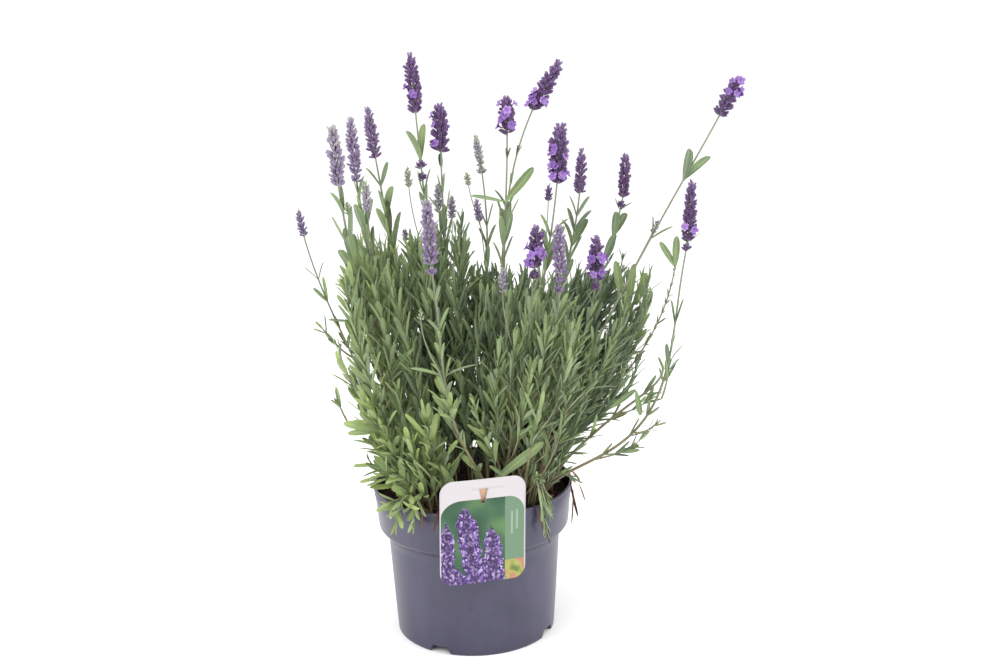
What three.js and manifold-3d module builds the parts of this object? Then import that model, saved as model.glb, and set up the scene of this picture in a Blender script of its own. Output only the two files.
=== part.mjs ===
// Lavender in a 19 cm nursery pot: a thin-walled plastic pot with a deep collar and four drained notches,
// the potting soil in it, a card label hung on its rim, and the plant. The plant is a fan of square stems. Each
// stem is a leafy shoot that stands in the soil, and most carry a bare flower stalk with a flower spike on top.
// Millimetres, +Z up. The origin is the centre of the pot's underside, and the label hangs on the -Y side.
import * as THREE from "three";
import { mergeVertices } from "three/addons/utils/BufferGeometryUtils.js";
import Module from "manifold-3d";

const wasm = await Module();
wasm.setup();

// ---- Driving dimensions ----
const GAP = 0.3; // between any two pieces that touch
const SIDES = 32; // facets round the pot and the soil

const RIM_DIAMETER = 190; // outside, over the bead
const POT_HEIGHT = 147;
const BASE_DIAMETER = 152;
const WALL = 1.4;
const BASE_THICKNESS = 2;
const NECK_DIAMETER = 165; // the body, just under the collar
const COLLAR_HEIGHT = 38; // from the top of the shoulder to the rim
const COLLAR_TAPER = 3; // how much the collar narrows towards its shoulder, on the radius
const SHOULDER_HEIGHT = 9;
const BEAD_HEIGHT = 3.5;
const BEAD_OUT = 0.8;
const FOOT_CHAMFER = 1.2;

const NOTCHES = 4;
const NOTCH_TURN = -26; // degrees from the front to the first notch, towards +X
const NOTCH_WIDTH = 22; // at the ground
const NOTCH_TOP_WIDTH = 15;
const NOTCH_HEIGHT = 7;
const NOTCH_LENGTH = 24; // inwards from the wall
const DRAIN_RADIUS = 4;

const SOIL_BELOW_RIM = 13;
const SOIL_MOUND = 5; // how much higher the soil is in the middle
const PLANTING_DEPTH = 12; // how deep each stem stands in the soil
const OVER_RIM = 4; // a stem rises straight to this far over the rim
const BEND_ASIDE = 0.2; // the share of its way to the tip that a stem has gone sideways at its first bend
const BEND_RISE = 0.36; // the share of its rise that each of its two bends takes

const LABEL_WIDTH = 80;
const LABEL_LENGTH = 98;
const LABEL_THICKNESS = 0.6;
const LABEL_CORNER = 12;
const LABEL_ABOVE_RIM = 35.5;
const LABEL_TURN = 17.5; // degrees round the rim from the front, towards +X, to where the card touches it
const LABEL_SHIFT = -19; // from there to the middle of the card, along its width
const LABEL_TILT = -1.4; // degrees, its left side up
const WINDOW_WIDTH = 8;
const WINDOW_LENGTH = 14;
const WINDOW_BELOW_TOP = 9;
const TONGUE_HOOK = 10; // how far the tongue reaches down behind the rim

const SHOOT_RADIUS = 1.7; // from the axis to a corner of the square stem
const STALK_RADIUS = 1.1;
const SPIKE_RADIUS = 7;
const WHORL_PITCH = 9; // height of one ring of flowers on a spike
const STEM_STEP = 16; // length of one straight piece of a stem
const LEAF_LENGTH = 38;
const LEAF_WIDTH = 5.4;
const LEAF_THICKNESS = 1.1;
const LEAF_PITCH = 30; // between two pairs of leaves on a shoot
const FIRST_LEAVES = 16; // height of the lowest pair over the soil

// The stems. foot: where the stem leaves the soil, as a share of the soil's radius. tip: the top of the stem
// with its spike, x and y from the pot's axis and z from the soil. lean: how far the top leans along x and y for
// each millimetre it rises. head: length of the spike, 0 on a stem with no flower. leaves: height of the top leaves.
const STEMS = [
  { foot: [-0.72, -0.28], tip: [-113, -40, 357], lean: [0.0, -0.06], head: 54, leaves: 284 },
  { foot: [-0.62, 0.05], tip: [-102, 5, 359], lean: [-0.02, 0.02], head: 51, leaves: 288 },
  { foot: [-0.5, 0.38], tip: [-90, 45, 365], lean: [-0.12, 0.06], head: 48, leaves: 290 },
  { foot: [-0.24, 0.16], tip: [-47, 20, 414], lean: [-0.06, 0.04], head: 54, leaves: 262 },
  { foot: [-0.2, 0.6], tip: [-24, 70, 365], lean: [0.0, 0.08], head: 46, leaves: 256 },
  { foot: [0.2, -0.7], tip: [-30, -105, 300], lean: [-0.05, 0.0], head: 56, leaves: 188, elbow: [-26, -98, 92] },
  { foot: [0.08, 0.78], tip: [9, 105, 330], lean: [-0.2, 0.1], head: 30, leaves: 232 },
  { foot: [0.16, 0.0], tip: [39, 0, 376], lean: [-0.02, 0.02], head: 34, leaves: 240 },
  { foot: [0.34, 0.52], tip: [91, 75, 401], lean: [0.75, 0.05], head: 52, leaves: 246 },
  { foot: [0.42, -0.12], tip: [86, -20, 353], lean: [0.02, 0.0], head: 54, leaves: 238 },
  { foot: [0.52, 0.3], tip: [110, 60, 320], lean: [0.0, 0.06], head: 42, leaves: 236 },
  { foot: [0.6, 0.6], tip: [155, 95, 310], lean: [-0.03, 0.05], head: 42, leaves: 224 },
  { foot: [0.8, 0.1], tip: [248, 5, 387], lean: [0.5, 0.0], head: 38, leaves: 190 },
  { foot: [0.72, -0.42], tip: [203, -25, 300], lean: [0.12, 0.0], head: 56, leaves: 158, elbow: [202, -40, 50] },
  { foot: [0.34, -0.56], tip: [62, -85, 273], lean: [0.02, 0.0], head: 38, leaves: 198 },
  { foot: [0.52, -0.68], tip: [80, -100, 275], lean: [-0.1, 0.0], head: 42, leaves: 202 },
  { foot: [0.7, -0.2], tip: [115, -60, 258], lean: [-0.08, 0.0], head: 40, leaves: 182 },
  { foot: [-0.78, 0.06], tip: [-152, -5, 277], lean: [-0.12, 0.0], head: 24, leaves: 176 },
  { foot: [-0.66, -0.5], tip: [-110, -62, 141], lean: [-0.5, -0.15], head: 0 },
  { foot: [0.86, -0.05], tip: [178, -12, 118], lean: [0.7, 0.1], head: 0 },
  { foot: [-0.26, 0.86], tip: [-46, 128, 205], lean: [-0.1, 0.16], head: 0 },
];

// ---- Sizes that follow ----
const RIM_RADIUS = RIM_DIAMETER / 2;
const BASE_RADIUS = BASE_DIAMETER / 2;
const NECK_RADIUS = NECK_DIAMETER / 2;
const COLLAR_RADIUS = RIM_RADIUS - BEAD_OUT;
const SHOULDER_Z = POT_HEIGHT - COLLAR_HEIGHT;
const NECK_Z = SHOULDER_Z - SHOULDER_HEIGHT;
const FLAT = Math.cos(Math.PI / SIDES); // the middle of a facet, as a share of the radius of its corners
const SOIL_Z = POT_HEIGHT - SOIL_BELOW_RIM;
const SOIL_RADIUS = outerRadius(SOIL_Z) - WALL - GAP;

// ---- Geometry helpers ----
// A closed three.js geometry as a solid.
function solid(geometry) {
  const plain = geometry.clone();
  plain.deleteAttribute("normal");
  plain.deleteAttribute("uv");
  const merged = mergeVertices(plain, 1e-4);
  const made = new wasm.Manifold(
    new wasm.Mesh({
      numProp: 3,
      vertProperties: new Float32Array(merged.attributes.position.array),
      triVerts: new Uint32Array(merged.index.array),
    }),
  );
  return made;
}

// A solid as a flat-shaded three.js geometry.
function geometryOf(made) {
  const { numProp, vertProperties, triVerts } = made.getMesh();
  const places = new Float32Array((vertProperties.length / numProp) * 3);
  for (let i = 0; i < places.length / 3; i++) {
    places.set(vertProperties.subarray(i * numProp, i * numProp + 3), i * 3);
  }
  const geometry = new THREE.BufferGeometry();
  geometry.setAttribute("position", new THREE.BufferAttribute(places, 3));
  geometry.setIndex(new THREE.BufferAttribute(new Uint32Array(triVerts), 1));
  const flat = geometry.toNonIndexed();
  flat.computeVertexNormals();
  return flat;
}

// A solid of revolution about Z, from a profile of [radius, height] that starts and ends on the axis.
function turned(profile, sides) {
  const points = profile.map(([r, z]) => new THREE.Vector2(r, z));
  return new THREE.LatheGeometry(points, sides).rotateX(Math.PI / 2);
}

// The same number for the same i and k, spread over -1 to 1.
function vary(i, k) {
  const s = Math.sin(i * 12.9898 + k * 78.233) * 43758.5453;
  return 2 * (s - Math.floor(s)) - 1;
}

// ---- The pot ----
// Outer radius of the pot's wall at height z: a tapered body, a rounded shoulder and a tapered collar.
function outerRadius(z) {
  if (z <= NECK_Z) return BASE_RADIUS + ((NECK_RADIUS - BASE_RADIUS) * z) / NECK_Z;
  const foot = COLLAR_RADIUS - COLLAR_TAPER;
  if (z >= SHOULDER_Z) return foot + (COLLAR_TAPER * (z - SHOULDER_Z)) / COLLAR_HEIGHT;
  const share = (z - NECK_Z) / SHOULDER_HEIGHT;
  return NECK_RADIUS + (foot - NECK_RADIUS) * Math.sin((share * Math.PI) / 2);
}

// Heights at which the wall's profile has a point, from the ground up.
function wallHeights() {
  const shoulder = [0, 0.25, 0.5, 0.75, 1].map((share) => NECK_Z + share * SHOULDER_HEIGHT);
  return [...shoulder, POT_HEIGHT - BEAD_HEIGHT];
}

// One notch's room, widened all round by more: a ridge of trapezium section that runs in from the wall.
function notchRoom(turn, more) {
  const low = NOTCH_WIDTH / 2 + more;
  const high = NOTCH_TOP_WIDTH / 2 + more;
  const top = NOTCH_HEIGHT + more;
  const section = new THREE.Shape();
  section.moveTo(-low, -1);
  section.lineTo(low, -1);
  section.lineTo(high, top);
  section.lineTo(-high, top);
  section.closePath();
  const inner = BASE_RADIUS - NOTCH_LENGTH - more;
  const depth = NOTCH_LENGTH + more + WALL * 3;
  const room = new THREE.ExtrudeGeometry(section, { depth, bevelEnabled: false });
  room.rotateX(Math.PI / 2); // its section stands up, and it runs towards -Y
  room.translate(0, -inner, 0);
  room.rotateZ(THREE.MathUtils.degToRad(turn));
  return solid(room);
}

function notchTurns() {
  return Array.from({ length: NOTCHES }, (_, i) => NOTCH_TURN + (i * 360) / NOTCHES);
}

function pot() {
  const heights = wallHeights();
  const outside = heights.map((z) => [outerRadius(z), z]);
  const inside = heights.map((z) => [outerRadius(z) - WALL, z]).reverse();
  const profile = [
    [0, 0],
    [BASE_RADIUS - FOOT_CHAMFER, 0],
    [outerRadius(FOOT_CHAMFER), FOOT_CHAMFER],
    ...outside,
    [RIM_RADIUS, POT_HEIGHT - BEAD_HEIGHT + BEAD_OUT],
    [RIM_RADIUS, POT_HEIGHT],
    [COLLAR_RADIUS - WALL, POT_HEIGHT],
    ...inside,
    [outerRadius(BASE_THICKNESS) - WALL, BASE_THICKNESS],
    [0, BASE_THICKNESS],
  ];
  const full = solid(turned([[0, 0], [BASE_RADIUS, 0], ...outside, [0, POT_HEIGHT - BEAD_HEIGHT]], SIDES));
  let made = solid(turned(profile, SIDES));
  for (const turn of notchTurns()) {
    const ridge = notchRoom(turn, WALL).intersect(full);
    made = made.add(ridge).subtract(notchRoom(turn, 0));
    const drain = new THREE.CylinderGeometry(DRAIN_RADIUS, DRAIN_RADIUS, NOTCH_HEIGHT * 3, 8);
    drain.rotateX(Math.PI / 2);
    drain.translate(0, -(BASE_RADIUS - NOTCH_LENGTH / 2), NOTCH_HEIGHT);
    drain.rotateZ(THREE.MathUtils.degToRad(turn));
    made = made.subtract(solid(drain));
  }
  return made;
}

// ---- The soil ----
function foot(stem) {
  return new THREE.Vector3(stem.foot[0] * SOIL_RADIUS, stem.foot[1] * SOIL_RADIUS, SOIL_Z - PLANTING_DEPTH);
}

function soil() {
  const inner = (z) => outerRadius(z) - WALL - GAP;
  const bottom = BASE_THICKNESS + GAP;
  const profile = [
    [0, bottom],
    [inner(bottom), bottom],
    ...wallHeights().filter((z) => z < SOIL_Z).map((z) => [inner(z), z]),
    [SOIL_RADIUS, SOIL_Z],
    [SOIL_RADIUS * 0.6, SOIL_Z + SOIL_MOUND * 0.7],
    [0, SOIL_Z + SOIL_MOUND],
  ];
  let made = solid(turned(profile, SIDES));
  for (const turn of notchTurns()) made = made.subtract(notchRoom(turn, WALL + GAP));
  for (const stem of STEMS) {
    const line = stemLine(stem);
    const open = shareAtHeight(line, SOIL_Z + SOIL_MOUND + PLANTING_DEPTH);
    made = made.subtract(squareStem(new Stretch(line, 0, open), SHOOT_RADIUS + 1.5 * GAP));
  }
  return made;
}

// ---- The label ----
// A flat card with round corners and a window near its top. A tongue behind the window's top edge steps back
// over the rim and hooks down behind it.
function label() {
  const card = new THREE.Shape();
  const [x, y, r] = [LABEL_WIDTH / 2, LABEL_LENGTH, LABEL_CORNER];
  card.moveTo(-x + r, 0);
  card.lineTo(x - r, 0);
  card.absarc(x - r, r, r, -Math.PI / 2, 0);
  card.lineTo(x, y - r);
  card.absarc(x - r, y - r, r, 0, Math.PI / 2);
  card.lineTo(-x + r, y);
  card.absarc(-x + r, y - r, r, Math.PI / 2, Math.PI);
  card.lineTo(-x, r);
  card.absarc(-x + r, r, r, Math.PI, 1.5 * Math.PI);
  const top = LABEL_LENGTH - WINDOW_BELOW_TOP;
  const window = new THREE.Path();
  window.moveTo(-WINDOW_WIDTH / 2, top);
  window.lineTo(WINDOW_WIDTH / 2, top);
  window.lineTo(WINDOW_WIDTH / 4, top - WINDOW_LENGTH);
  window.lineTo(-WINDOW_WIDTH / 4, top - WINDOW_LENGTH);
  card.holes.push(window);
  const flat = new THREE.ExtrudeGeometry(card, { depth: LABEL_THICKNESS, bevelEnabled: false, curveSegments: 4 });
  flat.rotateX(Math.PI / 2);

  const back = RIM_RADIUS + GAP; // the card's back, from the pot's axis
  const hookRadius = outerRadius(POT_HEIGHT - TONGUE_HOOK - BEAD_HEIGHT) - WALL;
  const aside = Math.abs(LABEL_SHIFT) + WINDOW_WIDTH / 2; // the tongue's far edge, from where the card touches
  const inside = Math.sqrt((hookRadius * FLAT) ** 2 - aside ** 2) - GAP; // the tongue's front
  const step = back - inside + LABEL_THICKNESS;
  const bridge = new THREE.BoxGeometry(WINDOW_WIDTH, step + LABEL_THICKNESS, LABEL_THICKNESS);
  bridge.translate(0, (step - LABEL_THICKNESS) / 2, top + LABEL_THICKNESS / 2);
  const reach = top - (LABEL_LENGTH - LABEL_ABOVE_RIM) + TONGUE_HOOK;
  const strip = new THREE.BoxGeometry(WINDOW_WIDTH, LABEL_THICKNESS, reach);
  strip.translate(0, step - LABEL_THICKNESS / 2, top + LABEL_THICKNESS - reach / 2);

  const rim = LABEL_LENGTH - LABEL_ABOVE_RIM; // the rim's height on the card
  const made = solid(flat).add(solid(bridge)).add(solid(strip));
  return geometryOf(made)
    .translate(0, -back, -rim)
    .rotateY(THREE.MathUtils.degToRad(-LABEL_TILT))
    .translate(LABEL_SHIFT, 0, POT_HEIGHT)
    .rotateZ(THREE.MathUtils.degToRad(LABEL_TURN));
}

// ---- The stems ----
// The line of a stem: it rises straight until it clears the rim, and then bends to reach its tip along its lean.
function stemLine(stem) {
  const start = foot(stem);
  const clearOfRim = start.clone().setZ(POT_HEIGHT + OVER_RIM);
  const tip = new THREE.Vector3(stem.tip[0], stem.tip[1], SOIL_Z + stem.tip[2]);
  const rise = tip.z - clearOfRim.z;
  const lean = new THREE.Vector3(stem.lean[0], stem.lean[1], 1).normalize();
  const elbow = stem.elbow
    ? new THREE.Vector3(stem.elbow[0], stem.elbow[1], SOIL_Z + stem.elbow[2])
    : clearOfRim.clone().lerp(tip, BEND_ASIDE).setZ(clearOfRim.z + rise * BEND_RISE);
  const shoulder = tip.clone().addScaledVector(lean, -rise * BEND_RISE);
  const bend = new THREE.CubicBezierCurve3(clearOfRim, elbow, shoulder, tip);
  return new THREE.CatmullRomCurve3([start, ...bend.getPoints(6)]);
}

// A stretch of another curve, from share a to share b of its length, as equal straight pieces.
class Stretch extends THREE.Curve {
  constructor(whole, a, b) {
    super();
    this.pieces = Math.max(3, Math.round(((b - a) * whole.getLength()) / STEM_STEP));
    this.points = Array.from({ length: this.pieces + 1 }, (_, i) =>
      whole.getPointAt(Math.min(1, a + ((b - a) * i) / this.pieces)),
    );
  }
  getPoint(u, target = new THREE.Vector3()) {
    const at = Math.min(this.pieces - 1, Math.floor(u * this.pieces));
    return target.lerpVectors(this.points[at], this.points[at + 1], u * this.pieces - at);
  }
}

// The share of a curve's length at which it passes height z.
function shareAtHeight(line, z) {
  let [low, high] = [0, 1];
  for (let i = 0; i < 30; i++) {
    const middle = (low + high) / 2;
    if (line.getPointAt(middle).z < z) low = middle;
    else high = middle;
  }
  return low;
}

// A square stem along a stretch.
function squareStem(line, radius) {
  const section = new THREE.Shape();
  section.moveTo(radius, 0);
  section.lineTo(0, radius);
  section.lineTo(-radius, 0);
  section.lineTo(0, -radius);
  section.closePath();
  const path = { steps: line.pieces, extrudePath: line, bevelEnabled: false };
  return solid(new THREE.ExtrudeGeometry(section, path));
}

// A leaf blade along +X: a thin diamond in section, widest past its middle, pointed at both ends.
function blade(length, width, thickness) {
  const leaf = new THREE.OctahedronGeometry(1);
  const place = leaf.attributes.position;
  for (let i = 0; i < place.count; i++) {
    const x = place.getX(i);
    const along = Math.abs(x) > 0.5 ? (x > 0 ? 1 : 0) : 0.6;
    place.setXYZ(i, along * length, (place.getY(i) * width) / 2, (place.getZ(i) * thickness) / 2);
  }
  return leaf;
}

// A leaf on a line at share u, turned round it by turn and opened from it by angle, as a solid.
function leafAt(line, u, turn, angle, length, width, thickness) {
  const along = line.getTangentAt(u);
  const side = new THREE.Vector3(1, 0, 0).cross(along).normalize().applyAxisAngle(along, turn);
  const out = side.clone().multiplyScalar(Math.sin(angle)).addScaledVector(along, Math.cos(angle));
  const across = new THREE.Vector3().crossVectors(along, side).normalize();
  const up = new THREE.Vector3().crossVectors(out, across);
  const matrix = new THREE.Matrix4().makeBasis(out, across, up).setPosition(line.getPointAt(u));
  return solid(blade(length, width, thickness).applyMatrix4(matrix));
}

// A flower spike from base to tip: rings of flowers that narrow to a point, as one turned solid.
function spike(base, tip, radius) {
  const length = base.distanceTo(tip);
  const rings = Math.max(2, Math.round(length / WHORL_PITCH));
  const profile = [[0, 0]];
  for (let i = 0; i < rings; i++) {
    const share = i / rings;
    const wide = radius * Math.sqrt(1 - share ** 2.4) * (0.8 + 0.2 * Math.min(1, share * 4));
    profile.push([wide * 0.55, length * (share + 0.1 / rings)]);
    profile.push([wide, length * (share + 0.6 / rings)]);
  }
  profile.push([0, length]);
  const made = turned(profile, 6);
  const turn = new THREE.Quaternion().setFromUnitVectors(
    new THREE.Vector3(0, 0, 1),
    tip.clone().sub(base).normalize(),
  );
  return solid(made.applyQuaternion(turn).translate(base.x, base.y, base.z));
}

// ---- The plant ----
// Everything that a leaf has to keep clear of, as [name, solid, box], filled as the pieces are made.
const placed = [];

function keep(name, made) {
  const box = made.boundingBox();
  placed.push({ name, made, box });
  return made;
}

function clear(leaf, owner) {
  const box = leaf.boundingBox();
  return placed.every((other) => {
    if (other.name === owner) return true;
    const apart = [0, 1, 2].some(
      (k) => box.min[k] > other.box.max[k] || box.max[k] < other.box.min[k],
    );
    return apart || leaf.intersect(other.made).volume() < 1e-6;
  });
}

// Pairs of leaves up a shoot, each pair a quarter turn from the last. A leaf with a neighbour in its way turns
// aside or stays shorter, as a real one grows, and is left out only where none of these has room.
function leafy(name, line, wood) {
  let made = wood;
  const length = line.getLength();
  const first = PLANTING_DEPTH + FIRST_LEAVES;
  const pairs = Math.floor((length - first) / LEAF_PITCH) + 1;
  const seed = Number(name.slice(-2));
  for (let pair = 0; pair < pairs; pair++) {
    const at = Math.min(0.995, (first + pair * LEAF_PITCH) / length);
    const size = 1 - 0.25 * Math.abs(pair / pairs - 0.45) + 0.12 * vary(seed, pair);
    const angle = THREE.MathUtils.degToRad(34 + 12 * vary(pair, seed));
    for (const half of [0, 1]) {
      const turn = (pair % 2) * (Math.PI / 2) + half * Math.PI + 0.5 * vary(seed, pair + 40);
      const tries = [[0, 1], [0.5, 1], [-0.5, 1], [0, 0.7], [0.5, 0.6], [-0.5, 0.6]];
      for (const [aside, share] of tries) {
        const long = LEAF_LENGTH * size * share;
        const room = leafAt(line, at, turn + aside, angle, long + 1, LEAF_WIDTH + 1.4, LEAF_THICKNESS + 1.4);
        if (!clear(room, name)) continue;
        made = made.add(leafAt(line, at, turn + aside, angle, long, LEAF_WIDTH, LEAF_THICKNESS));
        break;
      }
    }
  }
  return made;
}

const PAINT = {
  pot: new THREE.MeshStandardMaterial({ color: "#5d5b6e", roughness: 0.45, metalness: 0 }),
  soil: new THREE.MeshStandardMaterial({ color: "#2b1d18", roughness: 1, metalness: 0 }),
  label: new THREE.MeshStandardMaterial({ color: "#e9e6e8", roughness: 0.3, metalness: 0 }),
  leaves: new THREE.MeshStandardMaterial({ color: "#6f8a58", roughness: 0.7, metalness: 0 }),
  stalk: new THREE.MeshStandardMaterial({ color: "#8a9a74", roughness: 0.7, metalness: 0 }),
  flowers: new THREE.MeshStandardMaterial({ color: "#5b3f86", roughness: 0.75, metalness: 0 }),
};

const group = new THREE.Group();

function addNode(name, geometry, paint) {
  const mesh = new THREE.Mesh(geometry, paint);
  mesh.name = name;
  group.add(mesh);
}

function plantedStems() {
  const stems = STEMS.map((stem, i) => {
    const number = String(i + 1).padStart(2, "0");
    const whole = stemLine(stem);
    const length = whole.getLength();
    const gap = GAP / length;
    const headShare = 1 - stem.head / length;
    const leafShare = stem.head ? shareAtHeight(whole, SOIL_Z + stem.leaves) : 1;
    const shoot = new Stretch(whole, gap, leafShare);
    const parts = { number, stem, shoot, wood: squareStem(shoot, SHOOT_RADIUS) };
    keep("leafy_shoot_" + number, parts.wood);
    if (stem.head) {
      parts.stalk = squareStem(new Stretch(whole, leafShare + gap, headShare - gap), STALK_RADIUS);
      const base = whole.getPointAt(headShare);
      const tip = whole.getPointAt(1);
      parts.spike = spike(base, tip, SPIKE_RADIUS * Math.min(1, 0.55 + stem.head / 100));
      keep("flower_stalk_" + number, parts.stalk);
      keep("flower_spike_" + number, parts.spike);
    }
    return parts;
  });
  for (const { number, shoot, wood, stalk, spike: head } of stems) {
    const name = "leafy_shoot_" + number;
    const made = leafy(name, shoot, wood);
    placed.find((piece) => piece.name === name).made = made;
    placed.find((piece) => piece.name === name).box = made.boundingBox();
    addNode(name, geometryOf(made), PAINT.leaves);
    if (head) {
      addNode("flower_stalk_" + number, geometryOf(stalk), PAINT.stalk);
      addNode("flower_spike_" + number, geometryOf(head), PAINT.flowers);
    }
  }
}

addNode("nursery_pot", geometryOf(keep("nursery_pot", pot())), PAINT.pot);
addNode("potting_soil", geometryOf(keep("potting_soil", soil())), PAINT.soil);
const labelGeometry = label();
keep("plant_label", solid(labelGeometry));
addNode("plant_label", labelGeometry, PAINT.label);
plantedStems();

export default group;
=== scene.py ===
"""Lavender in a grey nursery pot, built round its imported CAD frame.

The plant grows on the frame's own stems: each CAD shoot, stalk and spike gives a line, and leaves, side shoots,
flowers and buds are set along those lines. Lengths are in metres, and MM turns millimetres into metres.
"""

import bpy
import numpy as np
from mathutils import Matrix, Vector


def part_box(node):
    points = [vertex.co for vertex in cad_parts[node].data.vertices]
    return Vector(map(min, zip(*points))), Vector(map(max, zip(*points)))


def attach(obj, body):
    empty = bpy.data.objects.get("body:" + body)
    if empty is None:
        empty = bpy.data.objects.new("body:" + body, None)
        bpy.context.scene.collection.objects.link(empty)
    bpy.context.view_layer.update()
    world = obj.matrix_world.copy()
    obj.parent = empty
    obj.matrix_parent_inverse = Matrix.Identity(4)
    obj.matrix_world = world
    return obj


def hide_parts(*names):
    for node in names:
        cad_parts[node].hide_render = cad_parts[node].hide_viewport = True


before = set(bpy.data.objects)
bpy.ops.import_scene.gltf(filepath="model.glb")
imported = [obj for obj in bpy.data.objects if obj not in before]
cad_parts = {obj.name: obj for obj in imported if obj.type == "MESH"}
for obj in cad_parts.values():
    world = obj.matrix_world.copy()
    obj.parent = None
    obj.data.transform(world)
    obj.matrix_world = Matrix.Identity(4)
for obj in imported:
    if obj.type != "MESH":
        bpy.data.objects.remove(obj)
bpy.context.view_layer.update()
MM = 0.001
RNG = np.random.default_rng(19)
GOLDEN_ANGLE = 2.39996  # between two shoots that follow one another round a stem
UP = np.array([0.0, 0.0, 1.0])

# ---- How the plant grows ----
STEMS = [f"{i:02d}" for i in range(1, 22)]
SIDE_SHOOTS, YOUNG_SHOOTS, RIGHT_SHOOTS = 9, 62, 34  # on each stem, all over the soil, and on the right
CRUMBS, FIBRES = 1600, 150  # on the soil
STEM_RADIUS = 1.6 * MM  # at the soil
STALK_RADIUS = 0.95 * MM  # under a flower spike
NODE_PITCH = 13 * MM  # between two pairs of leaves on a main stem
SIDE_PITCH = 7.8 * MM  # between two pairs on a side shoot
LOW_PITCH = 9 * MM  # between two pairs on a young or low shoot
LEAF_LENGTH = 29 * MM
LEAF_WIDTH = 3.5 * MM
LEAF_THICKNESS = 0.5 * MM
WHORL_PITCH = 6.6 * MM  # between two rings of flowers on a spike
CALYX_LENGTH = 7.4 * MM
CALYX_WIDTH = 2.9 * MM
PETALS_ACROSS = 9.0 * MM
PATH_POINTS = 14  # along a side shoot or a low shoot

# Each table below is by stem, and a stem that isn't in it has the usual value.
# How many side shoots a stem has, as a share of the usual number.
PLENTY = {
    "06": 0.35, "09": 1.4, "10": 1.2, "11": 1.9, "12": 1.9, "13": 0.3, "14": 0.12, "18": 0.35, "19": 0.5,
    "20": 0.12,
}
# How wide a stem's leaves are, as a share of the usual width.
BREADTH = {"01": 1.2, "02": 1.15, "03": 1.1, "04": 1.1, "06": 1.35, "14": 1.1, "18": 1.1, "19": 1.35}
# How far the side shoots may rise over the stem's own top leaves, or have to stay under them, in millimetres.
OVERTOP = {
    "01": -56, "02": -54, "03": -52, "04": 4, "05": 16, "07": -38, "08": -40, "09": -46, "10": -44, "11": -38,
    "12": -30, "15": -12, "16": -14, "17": -6, "21": 10,
}
# The shares of a stem's leafy part between which it has leaves: where they end, and where they begin.
LEAFY_TO = {"01": 0.8, "02": 0.8, "03": 0.82, "07": 0.86, "08": 0.84, "09": 0.82, "10": 0.84, "11": 0.84, "12": 0.88}
BARE = {"06": 0.25, "10": 0.2, "14": 0.3, "15": 0.3, "16": 0.32, "17": 0.34, "20": 0.3}
# Opposite corners of the box, in metres, that the ends of a full stem's side shoots stay in.
FOLIAGE = np.array([[-0.104, -0.1, 0.0], [0.164, 0.132, 1.0]])
# The tone of each flower spike, from 0, a pale grey bud, to 1, a ripe dark violet.
TONE = {"01": 0.4, "02": 0.5, "03": 0.66, "06": 0.5, "07": 0.22, "11": 0.8, "16": 0.55, "18": 0.6}
RIPE_TONE = 0.9
# How thick a spike is, as a share of the usual thickness.
BULK = {
    "02": 0.85, "03": 0.85, "05": 1.15, "06": 0.95, "07": 0.62, "08": 1.05, "09": 1.08, "10": 1.2, "11": 0.85,
    "12": 0.9, "14": 0.9, "16": 0.85, "18": 0.6,
}
# How many flowers are open on a spike, and the stretch of the spike that they are on.
OPEN_FLOWERS = {
    "04": (3, 0.2, 0.7),
    "05": (6, 0.1, 0.8),
    "08": (9, 0.1, 0.8),
    "09": (9, 0.0, 0.3),
    "10": (12, 0.1, 0.6),
    "13": (7, 0.4, 0.95),
    "14": (4, 0.2, 0.6),
    "15": (8, 0.0, 0.5),
    "17": (10, 0.1, 0.6),
}
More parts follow.
